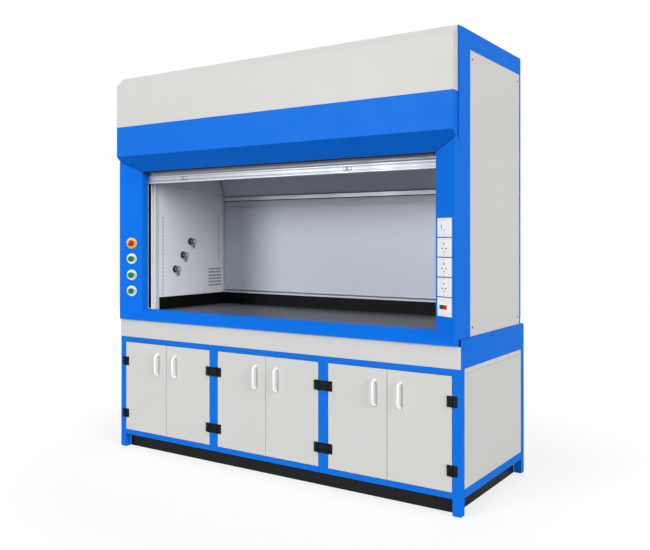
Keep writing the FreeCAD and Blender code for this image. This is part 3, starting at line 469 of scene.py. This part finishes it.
def round_edges(made, width, segments=2):
    """A bevel on every sharp edge, as a folded or moulded edge has."""
    bevel = made.modifiers.new("rounded_edges", "BEVEL")
    bevel.width = width
    bevel.segments = segments
    bevel.limit_method = "ANGLE"
    bevel.angle_limit = ROUNDED_TURN
    bevel.use_clamp_overlap = True
    bevel.harden_normals = True


def softened(name, surface, width, segments=2, reshape=None):
    """A copy of a CAD node with rounded edges, in place of the node. Its mesh may be reshaped first."""
    source = nodes[name]
    form = bmesh.new()
    form.from_mesh(source.data)
    bmesh.ops.remove_doubles(form, verts=form.verts, dist=0.01 * MM)
    bmesh.ops.dissolve_limit(form, angle_limit=math.radians(0.5), verts=form.verts, edges=form.edges)
    if reshape:
        reshape(form)
    mesh = bpy.data.meshes.new(name + "_skin")
    form.to_mesh(mesh)
    form.free()
    made = link(name + "_skin", mesh)
    mesh.materials.append(surface)
    round_edges(made, width, segments)
    shade(mesh)
    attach(made, source["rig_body"])
    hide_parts(name)


def raise_mid_posts(form):
    """Ends the mid posts level with the underside of the bottom rails, as the photograph shows them."""
    for vertex in form.verts:
        if vertex.co.z < MM and abs(vertex.co.x) < MID_POST_REACH * MM:
            vertex.co.z = RAIL_UNDERSIDE * MM


def lathe(form, profile, place, steps):
    """Adds a (radius, height) outline in millimetres, turned about the local Z axis of a placing matrix."""
    turns = [2 * math.pi * i / steps for i in range(steps)]
    rings = []
    for radius, height in profile:
        if radius == 0:
            rings.append([form.verts.new(place @ mm(0, 0, height))])
        else:
            rings.append([form.verts.new(place @ mm(radius * math.cos(a), radius * math.sin(a), height))
                          for a in turns])
    for low, high in zip(rings, rings[1:]):
        for i in range(steps):
            j = (i + 1) % steps
            corners = [low[i % len(low)], low[j % len(low)], high[j % len(high)], high[i % len(high)]]
            distinct = list(dict.fromkeys(corners))
            if len(distinct) > 2:
                form.faces.new(distinct)


def brick(form, low, high, place=Matrix()):
    """Adds a box between two corners, in a placing matrix."""
    corners = [form.verts.new(place @ Vector((x, y, z)))
               for x in (low[0], high[0]) for y in (low[1], high[1]) for z in (low[2], high[2])]
    for face in ((0, 1, 3, 2), (4, 6, 7, 5), (0, 4, 5, 1), (2, 3, 7, 6), (0, 2, 6, 4), (1, 5, 7, 3)):
        form.faces.new([corners[i] for i in face])


def sweep(form, path, across, radii, steps):
    """Adds a round bar of changing radius along a path that stays in one plane square to across."""
    turns = [2 * math.pi * k / steps for k in range(steps)]
    rings = []
    for i, (point, radius) in enumerate(zip(path, radii)):
        ahead = path[min(i + 1, len(path) - 1)] - path[max(i - 1, 0)]
        normal = across.cross(ahead).normalized()
        rings.append([form.verts.new(point + across * (radius * math.cos(a)) + normal * (radius * math.sin(a)))
                      for a in turns])
    for low, high in zip(rings, rings[1:]):
        for i in range(steps):
            j = (i + 1) % steps
            form.faces.new((low[i], low[j], high[j], high[i]))
    form.faces.new(rings[0][::-1])
    form.faces.new(rings[-1])


def facing(place, outward, up=Vector((0, 0, 1))):
    """A matrix whose Z axis points outward and whose Y axis points up, at a place."""
    z = Vector(outward).normalized()
    x = up.cross(z).normalized()
    y = z.cross(x)
    return Matrix.Translation(Vector(place)) @ Matrix((x, y, z)).transposed().to_4x4()


def screw_head(form, place, radius, height):
    """Adds a domed screw head with a drive recess, in millimetres."""
    drive = 0.45 * radius
    lathe(form, [(radius, 0), (radius * 0.97, height * 0.45), (radius * 0.7, height * 0.9), (drive, height),
                 (drive * 0.9, height * 0.45), (0, height * 0.4)], place, steps=18)


slot_of = {entry["node"]: entry["material_slot"] for entry in frame["record"]["subparts"]}
surface_of = {"blue_paint": blue, "light_paint": light, "black_paint": black_paint, "galvanised": galvanised,
              "board": liner_board, "baffle_board": baffle_board, "melamine": melamine,
              "black_top": black_top, "black_plastic": black_plastic, "white_plastic": white_plastic,
              "cream_plastic": cream_plastic, "red_plastic": red_plastic, "green_plastic": green_plastic,
              "aluminium": aluminium, "chrome": chrome, "glass": glass, "cast_iron": cast_iron,
              "steel": steel, "lamp": lens}
for name, made in nodes.items():
    made.data.materials.clear()
    made.data.materials.append(surface_of[slot_of[name]])
# The nozzle bodies get chrome darkened in colour, a painted dark reflection
nodes["service_nozzles"].data.materials[0] = chrome_painted_dark


# Casing and cupboards

def casing():
    """Folded, drawn and moulded pieces, with the soft edges that folding, paint and the mould give them."""
    widths = {"base_frame": 1.2, "base_side_panels": 0.7, "back_panels": 0.7, "plinth": 1.0, "apron_panel": 0.7,
              "upper_frame": 0.7, "upper_side_panels": 0.7, "roof_panel": 0.7, "front_top_panel": 0.7,
              "fascia_header": 0.7, "post_foils": 0.7, "sill_foil": 0.7, "front_posts": 0.7,
              "light_fixture": 1.0, "sash_guides": 0.6, "sash_lower_frame": 0.8, "sash_upper_frame": 0.8,
              "sash_handle": 0.9, "counterweights": 1.5, "pulley_brackets": 0.6, "cupboard_panels": 0.8,
              "control_bezels": 0.8, "socket_plates": 0.7}
    reshapes = {"base_frame": raise_mid_posts}
    for name, width in widths.items():
        softened(name, surface_of[slot_of[name]], width * MM, reshape=reshapes.get(name))
    for i in range(1, 7):
        softened("door_%d" % i, light, 1.0 * MM, segments=3)
        softened("door_hinge_leaves_%d" % i, black_plastic, 0.6 * MM)
    softened("hinge_post_leaves", black_plastic, 0.6 * MM)
    for name in ("valve_knob_1", "valve_knob_2", "valve_knob_3", "button_red", "selector_knob"):
        softened(name, surface_of[slot_of[name]], 0.9 * MM, segments=3)
    softened("button_green", dark_green, 0.9 * MM, segments=3)
    softened("stop_head", red_plastic, 1.2 * MM, segments=3)


def bow_handles():
    """Round-bar moulded handles: the radii of the swollen foot, of the bar, and of the bend between them."""
    foot = 9 * MM
    bar = 6 * MM
    bend = 19 * MM
    bend_steps = 8
    for i in range(1, 7):
        name = "door_handle_%d" % i
        low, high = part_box(name)
        x = (low.x + high.x) / 2
        out = low.y + bar
        face = high.y
        bottom, top = low.z + foot, high.z - foot
        path = [Vector((x, face, bottom)), Vector((x, out + bend, bottom))]
        for k in range(1, bend_steps + 1):
            a = math.radians(90) * k / bend_steps
            path.append(Vector((x, out + bend * (1 - math.sin(a)), bottom + bend * (1 - math.cos(a)))))
        path += [Vector((x, point.y, top + bottom - point.z)) for point in path[::-1]]
        radii = []
        for point in path:
            along = min(1.0, (face - point.y) / foot)
            radii.append(foot - (foot - bar) * math.sin(along * math.pi / 2))
        form = bmesh.new()
        sweep(form, path, Vector((1, 0, 0)), radii, steps=20)
        made = piece("bow_handle_%d" % i, form, white_plastic, "door_%d" % i, replaces=[name])
        made.data.shade_smooth()


def hinge_screws():
    """Two countersunk screws in each hinge leaf."""
    middle = HINGE_HEIGHT / 2 * MM
    apart = 16 * MM
    face = 5 * MM
    posts = bmesh.new()
    for i in range(1, 7):
        low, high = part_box("door_hinge_leaves_%d" % i)
        axis = joints["door_%d_hinge" % i]["pos_m"][0]
        outside = 1 if i % 2 == 0 else -1
        doors = bmesh.new()
        for z in (low.z + middle, high.z - middle):
            for step in (-apart, apart):
                for form, side in ((posts, outside), (doors, -outside)):
                    place = facing((axis + side * apart, high.y - face, z + step), (0, -1, 0))
                    screw_head(form, place, radius=3.2, height=0.9)
        piece("door_hinge_screws_%d" % i, doors, dark_plastic, "door_%d" % i)
    piece("post_hinge_screws", posts, dark_plastic, "root")


def hinge_bridges():
    """The strips that join the two hinge leaves on each mid post."""
    form = bmesh.new()
    reach = HINGE_LEAF_REACH * MM
    height = HINGE_HEIGHT * MM
    edge, thickness = 0.4 * MM, 4.8 * MM
    for i in (2, 4):
        low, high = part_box("door_hinge_leaves_%d" % i)
        left = joints["door_%d_hinge" % i]["pos_m"][0] + reach
        right = joints["door_%d_hinge" % (i + 1)]["pos_m"][0] - reach
        for z in (low.z, high.z - height):
            brick(form, (left, high.y - thickness, z + edge), (right, high.y, z + height - edge))
    piece("hinge_bridges", form, black_plastic, "root")


def panel_screws():
    """Black button-head screws near the corners of the side panels."""
    low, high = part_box("upper_side_panels")
    from_side, from_end = 27 * MM, 44 * MM
    form = bmesh.new()
    for side in (-1, 1):
        for y in (low.y + from_side, high.y - from_side):
            for z in (low.z + from_end, high.z - from_end):
                screw_head(form, facing((side * high.x, y, z), (side, 0, 0)), radius=5.5, height=2)
    piece("side_panel_screws", form, dark_plastic, "root")


def back_screws():
    """Two rows of small screws in the hood's back sheet, which stands in front of the base's back."""
    form = bmesh.new()
    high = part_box("back_panels")[1]
    back = high.y - BACK_SHEET_INSET * MM
    half = 1120 * MM
    spaces = 8
    lower_row, upper_row = 872 * MM, high.z - 22 * MM
    for z in (lower_row, upper_row):
        for i in range(spaces + 1):
            x = -half + 2 * half * i / spaces
            screw_head(form, facing((x, back, z), (0, 1, 0)), radius=4, height=1.8)
    piece("back_screws", form, zinc, "root")


# Chamber

def wall_marks():
    """Columns of slots for shelf clips, and cover caps, on the side walls. No slot is cut over the grille."""
    slots = bmesh.new()
    caps = bmesh.new()
    low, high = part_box("chamber_liner")
    wall = LINER_FACE * MM
    front_column, rear_column = low.y + 38 * MM, high.y - 105 * MM
    first_slot, slot_pitch, slot_count = 982 * MM, 24 * MM, 22
    slot_height, slot_half, slot_skin = 17 * MM, 2 * MM, 0.4 * MM
    cap = [(5, 0), (4.4, 1), (2, 1.5), (0, 1.6)]
    cap_depths = (low.y + 22 * MM, (low.y + high.y) / 2, high.y - 80 * MM)
    cap_heights = (1000 * MM, 1330 * MM, 1640 * MM, 2150 * MM)
    above_grille = 1180 * MM
    for side in (-1, 1):
        left, right = sorted((side * wall, side * (wall - slot_skin)))
        for y in (front_column, rear_column):
            for k in range(slot_count):
                z = first_slot + slot_pitch * k
                if side < 0 and y == rear_column and z < above_grille:
                    continue
                brick(slots, (left, y - slot_half, z), (right, y + slot_half, z + slot_height))
        for y in cap_depths:
            for z in cap_heights:
                lathe(caps, cap, facing((side * wall, y, z), (-side, 0, 0)), steps=18)
    piece("shelf_clip_slots", slots, dark_plastic, "root")
    piece("liner_caps", caps, liner_board, "root")


def grille_painted_shade():
    """Painted shade for the slots in the left wall: black linings in them, dark strips over and under them, and
    a black plate behind them.
    """
    form = bmesh.new()
    backing_low, backing_high = mm(-1026, 205, 1010), mm(-1023.4, 358, 1162)
    lining_back, lining_face = 7, 2
    lining, edge, skin = 0.2, 1.5, 0.4
    # Black plate behind the slots: painted shade for the hollow behind the grille
    brick(form, backing_low, backing_high)
    for i in range(GRILLE_COLUMNS):
        for j in range(GRILLE_ROWS):
            y, z = GRILLE_DEPTH + GRILLE_PITCH_Y * i, GRILLE_FOOT + GRILLE_PITCH_Z * j
            end, top = y + GRILLE_SLOT_Y, z + GRILLE_SLOT_Z
            brick(form, from_front(-LINER_FACE - lining_back, y + lining, z + lining),
                  from_front(-LINER_FACE - lining_face, end - lining, top - lining))
            # Dark strips over and under each slot on the wall's face: painted shade at the slot edges
            for foot in (z - edge, top):
                brick(form, from_front(-LINER_FACE, y, foot), from_front(-LINER_FACE + skin, end, foot + edge))
    piece("grille_painted_shade", form, dark_plastic, "root")


def bar_cover():
    """The bright drawn skin of the bar across the rear of the chamber, and dark strips in the gaps over and
    under it: painted shadow.
    """
    skin = bmesh.new()
    skin_front, skin_back = BAR_FRONT - 0.6, BAR_FRONT + 11
    skin_foot, skin_top = 1629.5, 1655.2
    brick(skin, from_front(-BAR_HALF, skin_front, skin_foot), from_front(BAR_HALF, skin_back, skin_top))
    piece("bar_cover", skin, bar_skin, "root", bevel=0.5 * MM)
    # Dark strips over and under the bar: painted shadow in the gaps
    gaps = bmesh.new()
    gap_front, gap_back = BAR_FRONT + 2.5, BAR_FRONT + 10
    for foot, top in ((skin_foot - 5, skin_foot - 0.5), (skin_top + 0.6, skin_top + 3.6)):
        brick(gaps, from_front(-BAR_HALF, gap_front, foot), from_front(BAR_HALF, gap_back, top))
    piece("bar_painted_shadows", gaps, dark_plastic, "root")


def header_seal_and_painted_shadows():
    """The black lip along the header's lower edge, and thin dark rods where the header meets the foils: painted
    shadow in the gaps there.
    """
    form = bmesh.new()
    lip_front, lip_back = HEADER_EDGE_Y + 0.3, HEADER_EDGE_Y + 5
    lip_foot, lip_top = HEADER_EDGE_Z - 7, HEADER_EDGE_Z - 0.2
    brick(form, from_front(-HEADER_HALF, lip_front, lip_foot), from_front(HEADER_HALF, lip_back, lip_top))
    # Painted shadow: the rods along the mitres between the header and the foils
    bead = 1.6
    for side in (-1, 1):
        inner = from_front(side * (HEADER_HALF + 1), HEADER_EDGE_Y, HEADER_EDGE_Z)
        outer = from_front(side * FOIL_FRONT_X, FOIL_FRONT_Y, FOIL_FRONT_Z)
        length = (outer - inner).length / MM
        lathe(form, [(0, 0), (bead, 0), (bead, length), (0, length)], facing(inner, outer - inner), steps=12)
    piece("header_seal_and_painted_shadows", form, dark_plastic, "root")


def baffle_caps():
    """Cover caps where the main baffle is screwed to its spacers."""
    form = bmesh.new()
    cap = [(7, 0), (6.4, 1.2), (3, 2), (0, 2.2)]
    for x in BAFFLE_CAPS_X:
        for z in BAFFLE_CAPS_Z:
            lathe(form, cap, facing(from_front(x, BAFFLE_FRONT, z), (0, -1, 0)), steps=20)
    piece("baffle_caps", form, baffle_board, "root")


def nozzle_ridges():
    """Serrated tapering outlets for a hose, and a collar at the foot of each body."""
    form = bmesh.new()
    down = Vector((0, math.sin(NOZZLE_TURN), -math.cos(NOZZLE_TURN)))
    flats_to_middle = 17.5
    outlet = [(9.5, 0), (9.5, 3), (8.4, 3.4)]
    for k in range(5):
        ridge, at = 8.7 - 0.6 * k, 7 + 4.4 * k
        outlet += [(ridge - 1.6, at - 0.1), (ridge, at), (ridge - 1.3, at + 4)]
    outlet += [(3.6, 30.4), (2.6, 30.4), (2.6, 20), (0, 20)]
    collar = [(15, 0), (15, 1.2), (13.5, 2.6), (9, 3), (0, 3)]
    for y, z in NOZZLE_PLACES:
        start = from_front(-LINER_FACE + NOZZLE_TIP_AT, y, z) + down * flats_to_middle * MM
        end = from_front(-LINER_FACE + NOZZLE_COLLAR_AT, y, z)
        lathe(form, outlet, facing(start, down, Vector((1, 0, 0))), steps=28)
        lathe(form, collar, facing(end, (1, 0, 0)), steps=28)
    piece("nozzle_tips", form, chrome, "root")


# Controls

def foil_frame(side, height):
    """The placing matrix on a post foil: X across it, Y up, Z outwards."""
    joint = joints["valve_1_turn" if side < 0 else "selector_turn"]
    x, y = joint["pos_m"][:2]
    return facing((x, y, height), joint["axis"])


def stop_plate():
    """The yellow backing ring of the stop button."""
    low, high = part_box("stop_head")
    form = bmesh.new()
    hole = (10.8, 4.05)
    ring = [hole, (10.8, 4.4), (30, 4.4), (33.5, 3.0), (35.6, 0.9), (35.6, 0.1), (33, 0.1), (31, 4.05), hole]
    lathe(form, ring, foil_frame(-1, (low.z + high.z) / 2), steps=40)
    piece("stop_plate", form, yellow_plastic, "root")


def plate_details():
    """Raised fronts, screws and slots on the right foil's plates: a switch, three sockets and two buttons."""
    low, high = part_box("socket_plates")
    first, last = 0, 4
    pitch = (high.z - low.z - PLATE_HEIGHT * MM) / last
    top = high.z - PLATE_HEIGHT / 2 * MM
    face = PLATE_FACE
    screw = [(2.8, face - 0.2), (2.6, face + 0.5), (0, face + 0.7)]
    screw_y = 39
    button_x = 14.5
    slot_back, slot_front = 5, face + 0.25
    socket_ring = [(30, face), (30, face + 0.9), (29, face + 1.4), (27.6, face + 1.4), (27, face + 0.2),
                   (27, face)]
    switch_ring = [(22, face), (22, face + 0.8), (20.5, face + 1.3), (15, face + 1.3), (14.5, face)]
    # Each slot of a socket: its middle and half its size
    slots = ((0, 17, 2.8, 4.9), (-14, -6, 4.6, 2.8), (14, -6, 4.6, 2.8), (0, -20, 3.0, 3.0))
    # The raised end of the housing of the two buttons
    end_low, end_high = mm(29.4, -10.4, face), mm(36, 10.4, face + 6)
    fronts = bmesh.new()
    screws = bmesh.new()
    pins = bmesh.new()
    for i in range(first, last + 1):
        place = foil_frame(1, top - i * pitch)
        for y in (-screw_y, screw_y):
            lathe(screws, screw, place @ Matrix.Translation(mm(0, y, 0)), steps=18)
        if i == first:
            lathe(fronts, switch_ring, place, steps=40)
        elif i == last:
            for x in (-button_x, button_x):
                rim(fronts, place, x)
            brick(fronts, end_low, end_high, place)
        else:
            for x, y, half_x, half_y in slots:
                brick(pins, mm(x - half_x, y - half_y, slot_back),
                      mm(x + half_x, y + half_y, slot_front), place)
            lathe(fronts, socket_ring, place, steps=40)
    piece("plate_fronts", fronts, white_plastic, "root")
    piece("socket_shutters", pins, dark_plastic, "root")
    piece("plate_screws", screws, zinc, "root")


def rim(form, place, x):
    """Adds a raised rim on a plate, round a push-button x millimetres from its middle."""
    inner_x, outer_x = 13.5, 14.4
    inner_y, outer_y = 10.6, 12.2
    foot, top = PLATE_FACE, PLATE_FACE + 1.5
    brick(form, mm(x - outer_x, inner_y, foot), mm(x + outer_x, outer_y, top), place)
    brick(form, mm(x - outer_x, -outer_y, foot), mm(x + outer_x, -inner_y, top), place)
    brick(form, mm(x - outer_x, -inner_y, foot), mm(x - inner_x, inner_y, top), place)
    brick(form, mm(x + inner_x, -inner_y, foot), mm(x + outer_x, inner_y, top), place)


def selector_painted_shade():
    """A dark strip along the rotary switch's grip: painted shade for the grip's shaded side."""
    place = foil_frame(1, joints["selector_turn"]["pos_m"][2])
    half, foot, tip = 2.2, -10, 13
    back, face = 22.8, 23.8
    form = bmesh.new()
    # Painted shade: a dark strip on top of the grip where its shaded side shows
    brick(form, mm(-half, foot, back), mm(half, tip, face), place)
    piece("selector_painted_shade", form, dark_plastic, "selector", bevel=0.3 * MM)


# Sash

def sash_trim():
    """Fine grooves, outlines and gaskets on the lower sash, and dark squares on its end caps, painted shade in
    their openings.
    """
    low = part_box("sash_handle")[0]
    rail_top = low.z + HANDLE_HEIGHT * MM
    half = HANDLE_HALF * MM
    from_edge, groove = 16 * MM, 1.4 * MM
    front, back = low.y + 4.3 * MM, low.y + 5.2 * MM
    grooves = bmesh.new()
    for z in (rail_top - from_edge, low.z + from_edge):
        brick(grooves, (-half, front, z), (half, back, z + groove))
    piece("handle_grooves", grooves, dark_plastic, "sash_lower")

    marks = bmesh.new()
    # Each strip on a finger pull: its left, right, bottom, top and front
    outline, slot = 92.4, 88
    strips = ((-27, 27, 32, 33.5, outline), (-27, 27, 14.5, 16, outline), (-27, -25.4, 16, 32, outline),
              (25.4, 27, 16, 32, outline), (-2.5, 3, 17, 31, slot))
    for x in PULL_PLACES:
        for left, right, bottom, top, front in strips:
            brick(marks, from_front(x + left, front, HANDLE_FOOT + bottom),
                  from_front(x + right, HANDLE_FACE, HANDLE_FOOT + top))
    # Dark squares on the end caps: painted shade in the openings of the rail's channel
    cap_half, cap_foot, cap_top = 8, 1770.5, 1786.5
    for side in (-1, 1):
        brick(marks, from_front(side * END_CAP_X - cap_half, END_CAP_FACE - 0.3, cap_foot),
              from_front(side * END_CAP_X + cap_half, END_CAP_FACE, cap_top))
    piece("pull_outlines_and_cap_shade", marks, dark_plastic, "sash_lower")

    seals = bmesh.new()
    glass_low, glass_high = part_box("sash_lower_glass")
    hidden = 10 * MM
    wide, deep = 3 * MM, 2 * MM
    half = glass_high.x - hidden
    for y in (glass_low.y - deep, glass_high.y):
        for x in (-half, half - wide):
            brick(seals, (x, y, rail_top), (x + wide, y + deep, glass_high.z - hidden))
        brick(seals, (-half, y, rail_top), (half, y + deep, rail_top + wide))
    piece("glass_seals", seals, black_plastic, "sash_lower", bevel=0.5 * MM)


def cable_runs():
    """The wire ropes: copies of the CAD cables where they stand, in wire rope, in place of the cables."""
    for name, body in (("sash_cables", "sash_lower"), ("upper_sash_cables", "sash_upper"),
                       ("weight_cables", "counterweights")):
        made = link(name + "_run", nodes[name].data.copy())
        made.data.materials.clear()
        made.data.materials.append(rope)
        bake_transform(made)
        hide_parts(name)


def guide_liners():
    """The black sliding strips in the front channels of the sash guides."""
    form = bmesh.new()
    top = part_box("sash_guides")[1].z / MM - 2
    side_strip, back_strip = 0.5, 0.15
    for side in (-1, 1):
        left, right = sorted((side * GUIDE_SIDE, side * (GUIDE_SIDE + side_strip)))
        brick(form, from_front(left, GUIDE_FRONT, GUIDE_FOOT), from_front(right, GUIDE_BACK, top))
        left, right = sorted((side * GUIDE_LIP, side * GUIDE_SIDE))
        brick(form, from_front(left, GUIDE_BACK - back_strip, GUIDE_FOOT), from_front(right, GUIDE_BACK, top))
    piece("guide_liners", form, dark_plastic, "root")


def duct_beads():
    """The duct collars, each with a flange, a rolled bead and a hemmed rim."""
    low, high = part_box("duct_collars")
    reach = DUCT_REACH * MM
    r = DUCT_RADIUS
    flange = [(r - 3.5, 1.5), (r + 24.5, 1.6), (r + 24.5, 0.1), (r + 23, 0.1)]
    collar = [(r - 1.5, 0), (r - 1.5, 20), (r - 1.5, 60), (r - 0.8, 61.4), (r, 61), (r, 44)]
    collar += [(r + 2.6 * math.sin(math.radians(a)), 44 - 8 * a / 180) for a in range(0, 181, 30)]
    collar += [(r, 12), (r + 3, 4), (r + 7, 1.6)]
    for number, x in ((1, low.x + reach), (2, high.x - reach)):
        form = bmesh.new()
        place = Matrix.Translation((x, (low.y + high.y) / 2, low.z))
        lathe(form, flange, place, steps=72)
        lathe(form, collar, place, steps=72)
        made = piece("duct_collar_%d" % number, form, galvanised, "root")
        if number == 1:
            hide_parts("duct_collars")


# Stage

def stage():
    """A pale floor that shows white to the camera and keeps a soft contact shadow, and studio light."""
    form = bmesh.new()
    brick(form, (-FLOOR_REACH, -FLOOR_REACH, -FLOOR_THICKNESS), (FLOOR_REACH, FLOOR_REACH, -FLOOR_GAP))
    mesh = bpy.data.meshes.new("floor")
    form.to_mesh(mesh)
    form.free()
    floor = link("floor", mesh)
    made, tree, shader = material("pale_floor")
    fill(tree, shader, Base_Color=FLOOR_GREY, Roughness=0.9, Specular_IOR_Level=0.0)
    distance = node(tree, "ShaderNodeVectorMath", [(0, places(tree))], operation="LENGTH").outputs["Value"]
    spread = between(tree, distance, low=GLOW_INSIDE, high=GLOW_OUTSIDE, start=GLOW_FROM, end=GLOW_TO)
    glow = node(tree, "ShaderNodeEmission", [("Strength", joined(tree, "MULTIPLY", seen_ray(tree), spread))])
    both = node(tree, "ShaderNodeAddShader", [(0, shader.outputs[0]), (1, glow.outputs[0])])
    tree.links.new(both.outputs[0], tree.nodes["Material Output"].inputs["Surface"])
    mesh.materials.append(made)

    world = bpy.data.worlds.new("studio")
    bpy.context.scene.world = world
    world.use_nodes = True
    tree = world.node_tree
    level = between(tree, seen_ray(tree), low=WORLD_LEVEL, high=1.0)
    fill(tree, tree.nodes["Background"], Color=(1, 1, 1, 1), Strength=level)

    lamp("front_light", FRONT_LIGHT_FROM, FRONT_LIGHT_LEVEL, FRONT_LIGHT_WIDTH)
    lamp("side_light", SIDE_LIGHT_FROM, SIDE_LIGHT_LEVEL, SIDE_LIGHT_WIDTH)


def seen_ray(tree):
    """1 for camera and transmission rays, a smaller share for glossy ones, and 0 for the rest."""
    path = node(tree, "ShaderNodeLightPath").outputs
    dimmed = joined(tree, "MULTIPLY", path["Is Glossy Ray"], GLOSSY_SHARE)
    some = joined(tree, "MAXIMUM", path["Is Camera Ray"], dimmed)
    return joined(tree, "MAXIMUM", some, path["Is Transmission Ray"])


def lamp(name, direction, level, width):
    """An even, soft light that comes from a direction."""
    data = bpy.data.lights.new(name, "SUN")
    data.energy = level
    data.angle = width
    made = link(name, data)
    made.location = Vector(direction) * LAMP_DISTANCE
    made.rotation_euler = (-Vector(direction)).to_track_quat("-Z", "Y").to_euler()


def camera():
    """The camera at the photograph's viewpoint: level, with the horizon above the middle of the frame."""
    data = bpy.data.cameras.new("camera")
    data.sensor_fit = "HORIZONTAL"
    data.sensor_width = SENSOR_WIDTH
    data.lens = FOCAL_PIXELS * SENSOR_WIDTH / PHOTO_WIDTH
    data.shift_y = (HORIZON_ROW - PHOTO_HEIGHT / 2) / PHOTO_WIDTH
    data.clip_end = CAMERA_REACH
    made = link("camera", data)
    made.location = CAMERA_PLACE
    made.rotation_euler = (math.radians(90), 0, CAMERA_TURN)
    bpy.context.scene.camera = made


bpy.context.scene.view_settings.view_transform = "Standard"
camera()
stage()
casing()
bow_handles()
hinge_screws()
hinge_bridges()
panel_screws()
back_screws()
wall_marks()
grille_painted_shade()
bar_cover()
header_seal_and_painted_shadows()
baffle_caps()
nozzle_ridges()
stop_plate()
plate_details()
selector_painted_shade()
sash_trim()
cable_runs()
guide_liners()
duct_beads()

bpy.context.view_layer.update()
